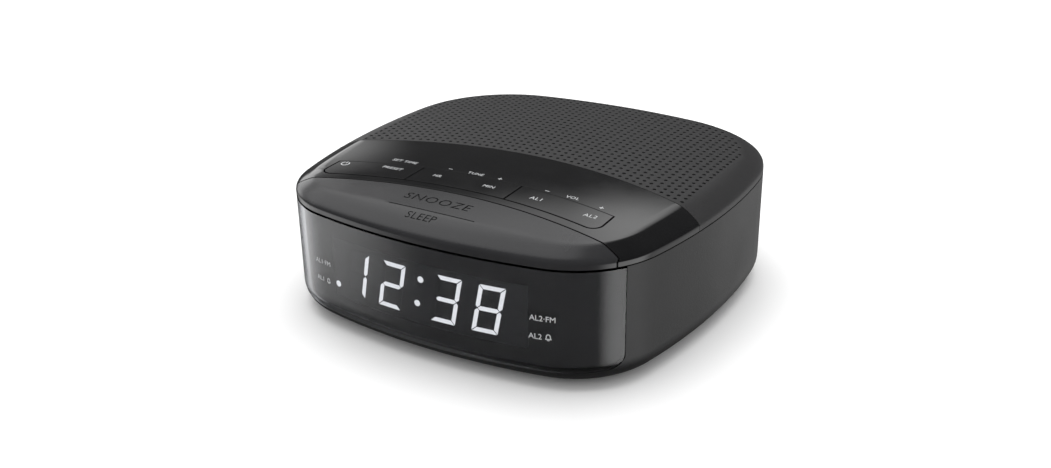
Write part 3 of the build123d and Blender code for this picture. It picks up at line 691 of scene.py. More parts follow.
def bell_icon(x, y, size):
    """Outline of a small bell with its clapper."""
    body = [(-0.8, -0.5), (-0.5, -0.15), (-0.5, 0.3), (-0.28, 0.68), (0.0, 0.8),
            (0.28, 0.68), (0.5, 0.3), (0.5, -0.15), (0.8, -0.5)]
    clapper = [(-0.3, -0.72), (0.0, -0.92), (0.3, -0.72)]
    outline, hanging = (
        [(x + size * u, y + size * v) for u, v in path] for path in (body, clapper)
    )
    return [stroke(outline, 0.24 * size, closed=True), stroke(hanging, 0.2 * size)]


def carve(skin, cut):
    """Sunk lettering: walls and floor below the openings left in the top sheet, in the second material,
    which paints shade into the letters.
    """
    floor = skin.lift(cut["points"], [skin.points[i][2] - CARVE_DEPTH for i in cut["top"]])
    for face in cut["faces"]:
        skin.face([floor[i] for i in face], [cut["facing"][i] for i in face], 1)
    for i, j in cut["rim"]:
        skin.flat_face((cut["top"][i], cut["top"][j], floor[j], floor[i]), 1)


def printed(skin, marks, place, paint):
    """Thin raised print, whose place gives a point and its surface direction."""
    for shape in marks:
        spots = [place(u, v) for u, v in shape["points"]]
        over = skin.add([p + n * INK_PROUD for p, n in spots])
        below = skin.add([p - n * INK_SUNK for p, n in spots])
        for face in shape["faces"]:
            skin.face([over[i] for i in face], [spots[i][1] for i in face], paint)
            skin.face([below[i] for i in face[::-1]], [-spots[i][1] for i in face[::-1]], paint)
        for i, j in shape["rim"]:
            skin.flat_face((over[j], over[i], below[i], below[j]), paint)


def on_top(x, y):
    """Point and direction of the upper surface."""
    return np.array([x, y, float(top_height(x, y))]), top_facing(x, y)


# ================= materials =================

class Tree:
    """Short hand for building a node tree."""

    def __init__(self, tree):
        self.nodes = tree.nodes
        self.links = tree.links

    def fill(self, node, **values):
        """Link inputs to sockets, or set them to values. Underscores stand for spaces."""
        for name, value in values.items():
            self.feed(node.inputs[name.replace("_", " ")], value)

    def feed(self, socket, value):
        if isinstance(value, bpy.types.NodeSocket):
            self.links.new(value, socket)
        else:
            socket.default_value = value

    def add(self, kind, **values):
        node = self.nodes.new("ShaderNode" + kind)
        self.fill(node, **values)
        return node


class Paint(Tree):
    """Short hand for building one node material. Sizes and depths are in millimetres."""

    def __init__(self, name):
        self.material = bpy.data.materials.new(name)
        self.material.use_nodes = True
        super().__init__(self.material.node_tree)
        self.shader = self.nodes["Principled BSDF"]
        self.place = self.add("TexCoord").outputs["Object"]
        self.bumped = None

    def set(self, **values):
        self.fill(self.shader, **values)

    def stretched(self, x, y, z):
        return self.add("Mapping", Scale=(x, y, z), Vector=self.place).outputs["Vector"]

    def noise(self, size, detail=2.0, rough=0.5, place=None):
        """Cloudy pattern whose features have the given size."""
        made = self.add("TexNoise", Scale=1.0 / (size * MM), Detail=detail, Roughness=rough,
                        Vector=place or self.place)
        return made.outputs["Fac"]

    def cells(self, size, place=None):
        """Pattern of rounded cells of the given size."""
        made = self.add("TexVoronoi", Scale=1.0 / (size * MM), Vector=place or self.place)
        return made.outputs["Distance"]

    def bands(self, size, direction):
        """Even bands of the given size across one direction."""
        made = self.add("TexWave", Scale=BAND_SCALE / (size * MM), Vector=self.place)
        made.bands_direction = direction
        return made.outputs["Fac"]

    def spread(self, source, low, high, start=0.3, end=0.7):
        made = self.add("MapRange", From_Min=start, From_Max=end, To_Min=low, To_Max=high,
                        Value=source)
        return made.outputs["Result"]

    def mixed(self, source, first, second, high=1.0, start=0.3, end=0.7):
        """Colour that goes from the first to the second as the source grows."""
        made = self.add("Mix")
        made.data_type = "RGBA"
        self.feed(made.inputs[0], self.spread(source, 0.0, high, start, end))
        for socket, colour in ((made.inputs[6], first), (made.inputs[7], second)):
            self.feed(socket, (*colour, 1.0) if isinstance(colour, tuple) else colour)
        return made.outputs[2]

    def roughness(self, source, low, high, start=0.3, end=0.7):
        self.set(Roughness=self.spread(source, low, high, start, end))

    def bump(self, source, depth, strength=1.0):
        """Relief of the given depth, on top of any relief before it."""
        made = self.add("Bump", Distance=depth * MM, Strength=strength, Height=source)
        if self.bumped is not None:
            self.fill(made, Normal=self.bumped)
        self.bumped = made.outputs["Normal"]
        self.set(Normal=self.bumped)


def darker(colour, share):
    """Colour multiplied by a share."""
    return tuple(min(1.0, c * share) for c in colour)


def textured_plastic(name, colour, roughness, grain=0.35, depth=0.03, specular=0.5):
    """Moulded plastic with a fine spark-eroded grain and faint handling marks."""
    paint = Paint(name)
    fine = paint.noise(grain, 3.0, 0.6)
    broad = paint.noise(14.0, 3.0, 0.55)
    tone = paint.mixed(broad, darker(colour, 0.9), darker(colour, 1.12))
    paint.set(Base_Color=paint.mixed(fine, darker(colour, 0.82), tone))
    paint.roughness(broad, roughness - 0.04, roughness + 0.05)
    paint.bump(broad, 0.02, 0.5)
    paint.bump(fine, depth)
    paint.set(Specular_IOR_Level=specular)
    return paint.material


def satin_plastic(name, colour, roughness, coat=0.0):
    """Smooth satin plastic with a very fine grain."""
    paint = Paint(name)
    fine = paint.noise(0.16, 2.0, 0.5)
    broad = paint.noise(18.0, 4.0, 0.6)
    paint.set(Base_Color=paint.mixed(broad, darker(colour, 0.92), darker(colour, 1.1)))
    paint.roughness(broad, roughness - 0.03, roughness + 0.04)
    paint.bump(fine, 0.004)
    paint.set(Coat_Weight=coat, Coat_Roughness=0.08)
    return paint.material


def gloss_plastic(name, colour, roughness):
    """Polished black plastic: faint ripple from the mould, faint smudges and fine scratches."""
    paint = Paint(name)
    ripple = paint.noise(9.0, 1.0, 0.4)
    smudge = paint.noise(11.0, 5.0, 0.65)
    scratch = paint.noise(0.5, 2.0, 0.6, paint.stretched(1.0, 0.05, 1.0))
    paint.set(Base_Color=paint.mixed(smudge, darker(colour, 0.9), darker(colour, 1.15)))
    paint.roughness(smudge, roughness, roughness + 0.05, 0.4, 0.75)
    paint.bump(ripple, 0.006)
    paint.bump(scratch, 0.0006)
    return paint.material


def tinted_lens(name):
    """Dark clear plastic with a polished face."""
    paint = Paint(name)
    smudge = paint.noise(13.0, 5.0, 0.62)
    ripple = paint.noise(12.0, 1.0, 0.4)
    tint = (0.34, 0.345, 0.36)
    paint.set(Base_Color=paint.mixed(smudge, darker(tint, 0.96), darker(tint, 1.04)))
    paint.roughness(smudge, 0.015, 0.045, 0.45, 0.8)
    paint.bump(ripple, 0.003)
    paint.set(Transmission_Weight=1.0, IOR=1.49)
    return paint.material


def metal(name, colour, roughness, way=(1.0, 1.0, 1.0), size=0.3, depth=0.004):
    """Metal with fine working marks, stretched one way for drawn or turned surfaces."""
    paint = Paint(name)
    lines = paint.noise(size, 3.0, 0.6, paint.stretched(*way))
    cloud = paint.noise(4.0, 4.0, 0.6)
    paint.set(Base_Color=paint.mixed(cloud, darker(colour, 0.8), colour))
    paint.roughness(cloud, roughness - 0.05, roughness + 0.1)
    paint.bump(lines, depth)
    paint.set(Metallic=1.0)
    return paint.material


def fibrous(name, colour, roughness, size=0.8, depth=0.06):
    """Pressed paper or felt with short crossing fibres."""
    paint = Paint(name)
    one = paint.noise(size, 4.0, 0.7, paint.stretched(1.0, 0.25, 1.0))
    other = paint.noise(size, 4.0, 0.7, paint.stretched(0.25, 1.0, 1.0))
    tone = paint.mixed(one, darker(colour, 0.7), darker(colour, 1.2))
    paint.set(Base_Color=paint.mixed(other, tone, darker(colour, 1.4), 0.6))
    paint.roughness(other, roughness - 0.06, roughness + 0.06)
    paint.bump(one, depth)
    paint.bump(other, depth)
    return paint.material


def board_green(name):
    """Printed board: green lacquer over copper tracks."""
    paint = Paint(name)
    tracks = paint.cells(3.4, paint.stretched(1.0, 0.5, 1.0))
    fine = paint.noise(1.2, 2.0, 0.5)
    lacquer = paint.mixed(fine, (0.006, 0.06, 0.022), (0.01, 0.085, 0.03))
    paint.set(Base_Color=paint.mixed(tracks, lacquer, (0.02, 0.13, 0.045), 1.0, 0.42, 0.46))
    paint.roughness(fine, 0.28, 0.4)
    paint.bump(tracks, 0.03, 0.6)
    return paint.material


def glowing(name, colour, strength):
    """Light block of the display, lit with a faint cloudy unevenness."""
    paint = Paint(name)
    cloud = paint.noise(1.6, 2.0, 0.5)
    shade = paint.mixed(cloud, darker(colour, 0.93), colour)
    paint.set(Base_Color=shade, Emission_Color=shade)
    paint.roughness(cloud, 0.3, 0.4)
    paint.bump(cloud, 0.01)
    paint.set(Emission_Strength=strength)
    return paint.material


def wound_copper(name):
    """Fine lacquered copper wire, wound in turns."""
    paint = Paint(name)
    turns = paint.bands(0.3, "Z")
    cloud = paint.noise(3.0, 3.0, 0.6)
    paint.set(Base_Color=paint.mixed(turns, (0.28, 0.09, 0.03), (0.75, 0.3, 0.12)))
    paint.roughness(cloud, 0.28, 0.4)
    paint.bump(turns, 0.08)
    paint.set(Metallic=1.0)
    return paint.material


def striped_ribbon(name):
    """Flat cable of joined wires."""
    paint = Paint(name)
    wires = paint.bands(1.27, "X")
    cloud = paint.noise(6.0, 3.0, 0.6)
    paint.set(Base_Color=paint.mixed(wires, (0.16, 0.16, 0.17), (0.42, 0.42, 0.43)))
    paint.roughness(cloud, 0.4, 0.52)
    paint.bump(wires, 0.15)
    return paint.material


def corrugated_cloth(name, colour):
    """Treated woven cloth of the speaker spider."""
    paint = Paint(name)
    warp = paint.bands(0.5, "X")
    weft = paint.bands(0.5, "Y")
    cloud = paint.noise(2.0, 3.0, 0.6)
    cross = paint.mixed(warp, darker(colour, 0.6), colour)
    paint.set(Base_Color=paint.mixed(weft, cross, darker(colour, 1.25), 0.6))
    paint.roughness(cloud, 0.65, 0.8)
    paint.bump(warp, 0.06)
    paint.bump(weft, 0.06)
    return paint.material


def case_black(name, colour, roughness, grain, depth):
    """Cabinet plastic, slightly paler where the mould sparks went deeper."""
    paint = Paint(name)
    fine = paint.noise(grain, 4.0, 0.65)
    pits = paint.cells(grain * 1.8)
    broad = paint.noise(25.0, 3.0, 0.5)
    tone = paint.mixed(broad, darker(colour, 0.92), darker(colour, 1.1))
    paint.set(Base_Color=paint.mixed(fine, darker(colour, 0.8), tone))
    paint.roughness(broad, roughness - 0.03, roughness + 0.04)
    paint.bump(pits, depth * 0.7)
    paint.bump(fine, depth)
    return paint.material


INK = textured_plastic("print_light_grey", (0.55, 0.56, 0.57), 0.5, 0.2, 0.003)
# painted shade: near-black for the floor and walls of the sunk lettering, standing in for the shade
# inside the letters
SUNK_SHADE = textured_plastic("sunk_lettering_painted_shade", (0.006, 0.006, 0.0065), 0.6, 0.2, 0.004)
SNOOZE_FINISH = satin_plastic("snooze_satin_black", (0.019, 0.019, 0.0205), 0.24, 0.12)
PANEL_FINISH = gloss_plastic("panel_gloss_black", (0.006, 0.006, 0.0065), 0.06)
COVER_FINISH = case_black("cover_textured_black", (0.027, 0.0265, 0.0275), 0.5, 0.3, 0.03)
CABINET_FINISH = case_black("cabinet_textured_black", (0.0085, 0.0085, 0.009), 0.46, 0.35, 0.035)
LENS_FINISH = tinted_lens("lens_tinted_clear")

# finish of each material slot of the record
FINISHES = {
    "cabinet": CABINET_FINISH,
    "mask": satin_plastic("mask_black", (0.003, 0.003, 0.0034), 0.5),
    "reflector": textured_plastic("reflector_grey", (0.1, 0.102, 0.106), 0.5, 0.3, 0.01),
    "lit": glowing("light_block_lit", (0.98, 0.99, 1.0), 2.3),
    "unlit": glowing("light_block_unlit", (0.07, 0.072, 0.075), 0.0),
    "board": board_green("circuit_board_green"),
    "switch": satin_plastic("switch_body_black", (0.02, 0.02, 0.02), 0.35),
    "carrier": textured_plastic("carrier_white", (0.55, 0.55, 0.53), 0.45, 0.3, 0.01),
    "screw": metal("screw_zinc", (0.62, 0.62, 0.6), 0.3),
    "basket": metal("basket_pressed_steel", (0.34, 0.35, 0.36), 0.38),
    "magnet": fibrous("magnet_ferrite", (0.03, 0.03, 0.032), 0.55, 0.5, 0.01),
    "plate": metal("plate_plated_steel", (0.56, 0.55, 0.5), 0.3, (1.0, 1.0, 4.0)),
    "cone": fibrous("cone_paper", (0.018, 0.018, 0.019), 0.75),
    "cap": fibrous("cap_pressed_cloth", (0.014, 0.014, 0.015), 0.6, 0.5),
    "coil": wound_copper("coil_copper_wire"),
    "surround": textured_plastic("surround_rubber", (0.012, 0.012, 0.012), 0.6, 0.5, 0.02),
    "spider": corrugated_cloth("spider_treated_cloth", (0.42, 0.26, 0.09)),
    "foam": fibrous("gasket_foam", (0.03, 0.03, 0.03), 0.85, 0.4, 0.12),
    "can": metal("tuner_can_tinplate", (0.66, 0.67, 0.66), 0.25, (0.1, 1.0, 1.0)),
    "chip": textured_plastic("chip_moulding", (0.016, 0.016, 0.017), 0.5, 0.12, 0.006),
    "capacitor": satin_plastic("capacitor_sleeve", (0.012, 0.02, 0.06), 0.3),
    "transformer": metal("transformer_laminations", (0.3, 0.29, 0.27), 0.45, (1.0, 1.0, 6.0), 0.5, 0.05),
    "connector": textured_plastic("connector_nylon", (0.6, 0.58, 0.5), 0.4, 0.3, 0.006),
    "ribbon": striped_ribbon("ribbon_cable_grey"),
    "lead": satin_plastic("lead_insulation_red", (0.3, 0.012, 0.01), 0.38),
    "holder": textured_plastic("holder_black", (0.014, 0.014, 0.014), 0.45, 0.3, 0.01),
    "cell": metal("cell_steel", (0.68, 0.68, 0.66), 0.22, (1.0, 1.0, 1.0), 0.25, 0.003),
    "contact": metal("contact_nickel", (0.66, 0.62, 0.54), 0.22, (0.1, 1.0, 1.0), 0.3, 0.003),
    "grommet": textured_plastic("grommet_rubber", (0.01, 0.01, 0.01), 0.7, 0.4, 0.02),
    "foot": textured_plastic("foot_rubber", (0.012, 0.012, 0.012), 0.75, 0.5, 0.03),
}
# a carried node comes with a plain material that has its slot's name
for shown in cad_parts.values():
    slot_name = shown.data.materials[0].name
    if slot_name in FINISHES:
        shown.data.materials[0] = FINISHES[slot_name]


# ================= snooze button =================

SNOOZE_RIM_POINTS = 150
SNOOZE_ARC_POINTS = 110
SKIRT_HALF = 50.0
SKIRT_POINTS = 60
SKIRT_THICK = 1.5
SKIRT_Z = 37.6
GUIDES_X = (-30.0, 30.0)
GUIDE_Y = -50.5
GUIDE_RADIUS = 2.0
GUIDE_Z = 31.6
GUIDE_RIB = (-56.5, -46.5)
GUIDE_RIB_HALF = 0.6
GUIDE_RIB_Z = 38.4
# the middle post presses the snooze switch
PUSHER_Y = -49.5
PUSHER_RADIUS = 1.8
PUSHER_Z = 38.8


def on_arc(radius, x):
    """Y at a given x on an arc round the snooze button's arc centre."""
    return SNOOZE_ARC_Y + math.sqrt(radius ** 2 - x ** 2)


def snooze_outline(rim, seam):
    """Outline of the snooze button."""
    cut = SNOOZE_HALF - HALF_GAP - seam
    end = cut_travel(cut, rim)
    front = rim_run(-end, end, SNOOZE_RIM_POINTS, rim)
    radius = SNOOZE_ARC_RADIUS - HALF_GAP - seam
    return front + arc_run(SNOOZE_ARC_Y, radius, cut, -cut, SNOOZE_ARC_POINTS)


def in_snooze(x, y):
    """Whether a point is well inside the snooze button."""
    inside = math.hypot(x, y - SNOOZE_ARC_Y) < SNOOZE_ARC_RADIUS - 1.0
    return inside and abs(x) < SNOOZE_HALF - 1.2 and inset_of(x, y) > 0.5


def make_snooze():
    """Snooze button with sunk lettering, front skirt and posts."""
    skin = Skin()
    boundary = edge_boundary(snooze_outline, [(0, SNOOZE_RIM_POINTS)])
    cuts = [
        words("SNOOZE", 3.9, -3.6, -48.9, 0.02, 1.1),
        stroke([(-16.6 + 29.6 * i / 24, -55.3) for i in range(25)], 0.38),
        words("SLEEP", 2.9, -2.6, -58.7, 0.02, 1.05),
    ]
    moulded(skin, [boundary], rim_spots(in_snooze), cuts)
    arc = SNOOZE_ARC_RADIUS - HALF_GAP
    skirt(skin, arc, arc - SKIRT_THICK, SKIRT_Z)
    for x in GUIDES_X:
        post(skin, x, GUIDE_Y, GUIDE_RADIUS, 0.0, GUIDE_Z, under_at(x, GUIDE_Y))
        slab(skin, x - GUIDE_RIB_HALF, x + GUIDE_RIB_HALF, *GUIDE_RIB, GUIDE_RIB_Z,
             under_at(x, GUIDE_RIB[0]))
    post(skin, 0.0, PUSHER_Y, PUSHER_RADIUS, 0.0, PUSHER_Z, under_at(0.0, PUSHER_Y))
    # the second material paints shade into the sunk lettering
    made = skin.object("snooze_button_skin", "snooze", [SNOOZE_FINISH, SUNK_SHADE])
    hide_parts("snooze_button")


# ================= bending rings of the speaker =================

RING_SIDES = 72
RING_STEPS = 49
# inner and outer edge as radius and height, thickness, and the heights where the ring
# moves fully and stays still
SPIDER_RING = ((6.8, 25.85), (15.3, 24.4), 0.4, 25.6, 24.65)
SPIDER_WAVE = 0.16
SPIDER_WAVES = 5
SURROUND_RING = ((21.6, 35.6), (24.4, 37.55), 0.34, 35.85, 37.3)
SURROUND_ROLL = 0.35


def bending_ring(node, inner, outer, thick, moves, stays, rise):
    """Ring between an inner edge by the speaker cone and an outer edge further out.
    Edges are radius and height. Moves and stays, the heights where the ring moves fully and stays still,
    are not used. Rise lifts it along its width, from a share of 0 to 1."""
    around = circle(0.0, 0.0, 1.0, RING_SIDES)
    run = np.array(outer) - np.array(inner)
    along = run / np.hypot(*run)
    across = np.array([-along[1], along[0]])
    share = np.linspace(0.0, 1.0, RING_STEPS)
    lift = np.array([rise(part) for part in share])
    middle = np.array(inner) + np.outer(share, run) + np.outer(lift, across)
    slope = np.gradient(lift, share * np.hypot(*run))
    upward = across - np.outer(slope, along)
    upward = upward / np.linalg.norm(upward, axis=1)[:, None]
    profile = [*(middle + upward * thick / 2), *(middle - upward * thick / 2)[::-1]]
    sides = [*upward, *(-upward)[::-1]]
    skin = Skin()
    rings = [
        skin.lift(circle(*SPEAKER, radius, RING_SIDES), [z] * RING_SIDES) for radius, z in profile
    ]
    for k in range(len(profile)):
        after = (k + 1) % len(profile)
        edge = {len(share) - 1: along, len(profile) - 1: -along}.get(k)
        for i in range(RING_SIDES):
            j = (i + 1) % RING_SIDES
            corners = ((k, i), (after, i), (after, j), (k, j))
            facings = []
            for row, turn in corners:
                out, up = sides[row] if edge is None else edge
                facings.append((out * around[turn][0], out * around[turn][1], up))
            skin.face([rings[row][turn] for row, turn in corners], facings)
    made = skin.object(node + "_skin", None, [FINISHES[node]])
    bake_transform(made)
    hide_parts(node)


def make_bending_rings():
    """Corrugated spider round the coil, and the rubber surround round the cone."""
    bending_ring("spider", *SPIDER_RING,
                 lambda part: SPIDER_WAVE * math.sin(2 * SPIDER_WAVES * math.pi * part))
    bending_ring("surround", *SURROUND_RING,
                 lambda part: SURROUND_ROLL * math.sin(math.pi * part))


# ================= control panel and keys =================

PANEL_RIM_POINTS = 70
PANEL_SEAM_POINTS = 140
PANEL_LEFT_FROM = PANEL_RIM_POINTS + PANEL_SEAM_POINTS - 2
KEY_ARC_POINTS = 60
KEY_CORNER_POINTS = 12
# half width, front and back measured from the key's front edge
PIVOT_RIB = (0.9, 3.4, 7.4)
PIVOT_BAR = (1.1, 1.4, 9.4)
PIVOT_BAR_Z = (KEY_PIVOT_Z - 0.5, KEY_PIVOT_Z + 0.6)
SWITCH_POST_BACK = 4.0
SWITCH_POST_RADIUS = 1.5
SWITCH_POST_Z = 38.7


def key_loop(x_low, x_high, grow, round_left, round_right, rear=0.0):
    """Outline of one key, or of a gap round it when it grows."""
    front = KEY_FRONT_RADIUS - grow
    back = KEY_BACK_RADIUS + grow - rear
    left = x_low - grow
    right = x_high + grow
    corner = KEY_CORNER + grow
    loop = []

    def rounded(cx, start, end):
        cy = math.sqrt((KEY_FRONT_RADIUS + KEY_CORNER) ** 2 - cx ** 2)
        towards = math.atan2(-cy, -cx)
        start = (towards if start is None else start) % (2 * math.pi)
        end = (towards if end is None else end) % (2 * math.pi)
        if end < start:
            end += 2 * math.pi
        turns = np.linspace(start, end, KEY_CORNER_POINTS)
        return [(cx + corner * math.cos(t), cy + corner * math.sin(t)) for t in turns]

    first = left
    last = right
    if round_left:
        curve = rounded(x_low + KEY_CORNER, math.pi, None)
        loop += curve[:-1]
        first = curve[-1][0]
    if round_right:
        tail = rounded(x_high - KEY_CORNER, None, 0.0)
        last = tail[0][0]
    loop += arc_run(0.0, front, first, last, KEY_ARC_POINTS)
    if round_right:
        loop += tail[1:]
    loop += arc_run(0.0, back, right, left, KEY_ARC_POINTS)
    return [(x, y + SNOOZE_ARC_Y) for x, y in loop]


def panel_outline(rim, seam):
    """Outline of the control panel: right rim, cover seam, left rim, snooze gap."""
    cut = SNOOZE_HALF + HALF_GAP + seam
    radius = COVER_ARC_RADIUS - HALF_SEAM - seam
    start = cut_travel(cut, rim)
    end = cover_travel(radius, rim)
    right = rim_run(start, end, PANEL_RIM_POINTS, rim)
    corner = right[-1][0]
    seam_arc = arc_run(COVER_ARC_Y, radius, corner, -corner, PANEL_SEAM_POINTS)
    left = rim_run(-end, -start, PANEL_RIM_POINTS, rim)
    gap_radius = SNOOZE_ARC_RADIUS + HALF_GAP + seam
    gap = arc_run(SNOOZE_ARC_Y, gap_radius, -cut, cut, SNOOZE_ARC_POINTS)
    return right + seam_arc[1:-1] + left + gap


def key_opening():
    """Opening of the panel that the three keys sit in."""
    low = KEYS["key_power"][0]
    high = KEYS["key_alarm"][1]
    return hole_boundary([
        (key_loop(low, high, KEY_GAP + seam, True, True, REAR_CLOSER)[::-1], drop, tilt)
        for _, seam, _, drop, tilt in WALL_ROWS
    ])


def in_panel(x, y):
    """Whether a point is well inside the control panel's material."""
    if math.hypot(x, y - COVER_ARC_Y) > COVER_ARC_RADIUS - 1.0 or inset_of(x, y) < 0.5:
        return False
    reach = math.hypot(x, y - SNOOZE_ARC_Y)
    if reach < SNOOZE_ARC_RADIUS + 1.0 and abs(x) < SNOOZE_HALF + 1.2:
        return False
    low = KEYS["key_power"][0]
    high = KEYS["key_alarm"][1]
    between = low - 1.6 < x < high + 1.6
    return not (between and KEY_FRONT_RADIUS - 1.6 < reach < KEY_BACK_RADIUS + 1.6)


def make_panel():
    """Gloss panel with the key opening, its rear row of print, lips and bosses."""
    skin = Skin()
    rim_spans = [(0, PANEL_RIM_POINTS), (PANEL_LEFT_FROM, PANEL_LEFT_FROM + PANEL_RIM_POINTS)]
    outer = edge_boundary(panel_outline, rim_spans)
    moulded(skin, [outer, key_opening()], rim_spots(in_panel))
    start = cut_travel(57.6, LIP_INSET)
    end = cover_travel(COVER_ARC_RADIUS - 1.2, LIP_INSET)
    lip(skin, start, end)
    lip(skin, -end, -start)
    arc = SNOOZE_ARC_RADIUS + HALF_GAP
    skirt(skin, arc + LEDGE_THICK, arc + LEDGE_CLEAR, LEDGE_Z)
    for x, y in CASE_SCREWS[:2]:
        post(skin, x, y, *SCREW_BOSS, under_at(x, y))
    for x, y in KEY_BOSSES:
        post(skin, x, y, *KEY_BOSS, under_at(x, y))
    marks = print_row([
        ("SET TIME", 1.6, -31.0, 196.9), ("−", 2.2, -14.1, 195.5), ("TUNE", 1.5, -5.0, 195.2),
        ("+", 2.2, 3.7, 195.1), ("−", 2.2, 20.6, 195.1), ("VOL", 1.6, 29.3, 195.8),
        ("+", 2.2, 39.6, 195.8),
    ])
    printed(skin, marks, on_top, 1)
    made = skin.object("control_panel_skin", "radio", [PANEL_FINISH, INK])
    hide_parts("control_panel")


def make_key(name, marks):
    """Rocking key with its print, pivot rib and bar, and switch posts."""
    x_low, x_high, body = KEYS[name]
    skin = Skin()
    rows = [
        (key_loop(x_low, x_high, -seam, name == "key_power", name == "key_alarm"), drop, tilt)
        for _, seam, _, drop, tilt in WALL_ROWS
    ]

    def in_key(x, y):
        reach = math.hypot(x, y - SNOOZE_ARC_Y)
        inside = KEY_FRONT_RADIUS + 1.2 < reach < KEY_BACK_RADIUS - 1.2
        return inside and x_low + 3.4 < x < x_high - 3.4

    moulded(skin, [hole_boundary(rows)], rim_spots(in_key))
    middle = (x_low + x_high) / 2
    front_y = on_arc(KEY_FRONT_RADIUS, middle)
    rib_top = under_at(middle, front_y + sum(PIVOT_RIB[1:]) / 2)
    for (half, near, far), heights in ((PIVOT_RIB, (KEY_PIVOT_Z, rib_top)), (PIVOT_BAR, PIVOT_BAR_Z)):
        slab(skin, middle - half, middle + half, front_y + near, front_y + far, *heights)
    offset = KEY_SWITCH_SHARE * (x_high - x_low) / 2
    for x in (middle - offset, middle + offset):
        y = on_arc(KEY_FRONT_RADIUS, x) + SWITCH_POST_BACK
        post(skin, x, y, SWITCH_POST_RADIUS, 0.0, SWITCH_POST_Z, under_at(x, y))
    printed(skin, marks, on_top, 1)
    made = skin.object(name + "_skin", body, [PANEL_FINISH, INK])
    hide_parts(name)


def print_row(items):
    """Print along an arc: text, letter height, x, and radius from the snooze arc's centre."""
    return [
        words(text, cap, x, on_arc(radius, x), PRINT_THIN, PRINT_SPREAD)
        for text, cap, x, radius in items
    ]


# ================= grille cover =================

COVER_RIM_POINTS = 300
COVER_SEAM_POINTS = 160


def cover_outline(rim, seam):
    """Outline of the grille cover: rim round the back, then the seam arc."""
    radius = COVER_ARC_RADIUS + HALF_SEAM + seam
    start = cover_travel(radius, rim)
    back = rim_run(start, 2 * HALF_LENGTH - start, COVER_RIM_POINTS, rim)
    corner = back[0][0]
    return back + arc_run(COVER_ARC_Y, radius, -corner, corner, COVER_SEAM_POINTS)[1:-1]


def sound_holes():
    """Middles of the sound holes, in bowed rows that follow the seam of the cover."""
    found = []
    for i in range(-24, 25):
        x = HOLE_PITCH_X * i
        y = COVER_ARC_Y + math.sqrt(COVER_ARC_RADIUS ** 2 - x ** 2) + FIRST_HOLE_ROW
        while y < DEPTH / 2:
            if inset_of(x, y) > FIELD_INSET:
                found.append((x, y))
            y += HOLE_PITCH_Y
    return found


def sound_hole_boundary(x, y):
    """Round sound hole with a softened upper edge."""
    return hole_boundary([
        (circle(x, y, HOLE_RADIUS + grow, HOLE_SIDES, -1), drop, tilt)
        for grow, drop, tilt in HOLE_ROWS
    ])


def in_cover_edge(x, y):
    """Whether a point is in the plain band round the field of holes."""
    reach = math.hypot(x, y - COVER_ARC_Y)
    return reach > COVER_ARC_RADIUS + 0.8 and 0.5 < inset_of(x, y) < FIELD_INSET - 1.0


def make_cover():
    """Perforated rear cover with its lip and screw bosses."""
    skin = Skin()
    outer = edge_boundary(cover_outline, [(0, COVER_RIM_POINTS)])
    holes = [sound_hole_boundary(x, y) for x, y in sound_holes()]
    moulded(skin, [outer] + holes, rim_spots(in_cover_edge))
    start = cover_travel(COVER_ARC_RADIUS + 1.2, LIP_INSET)
    lip(skin, start, 2 * HALF_LENGTH - start)
    for x, y in CASE_SCREWS[2:]:
        post(skin, x, y, *SCREW_BOSS, under_at(x, y))
    made = skin.object("grille_cover_skin", "radio", [COVER_FINISH])
    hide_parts("grille_cover")


# ================= lens =================

def lens_inset(z):
    """Inset of the case side at a height, where the bottom edge is rounded."""
    below = max(0.0, BASE_Z + BASE_ROUND - z)
    return BASE_ROUND - math.sqrt(BASE_ROUND ** 2 - below ** 2)


def lens_point(x, z):
    """Point of the lens face and its outward direction in plan."""
    inset = lens_inset(z)
    side = -1.0 if x < 0 else 1.0
    way = meeting(lambda w: outline_at(w, inset)[0][0] > abs(x), 0.0, 95.0) if x else 0.0
    (_, y), (across, ahead) = outline_at(way, inset)
    return np.array([x, y, z]), np.array([side * abs(across), ahead, 0.0])


def lens_low_z(x):
    """Lower edge of the lens: gently bowed, rounded at its corners."""
    sag = LENS_END_Z - LENS_MID_Z
    radius = (LENS_HALF ** 2 + sag ** 2) / (2 * sag)
    bow = LENS_MID_Z + radius - math.sqrt(radius ** 2 - x ** 2)
    over = max(0.0, abs(x) - (LENS_HALF - LENS_CORNER))
    return bow + LENS_CORNER - math.sqrt(max(0.0, LENS_CORNER ** 2 - over ** 2))


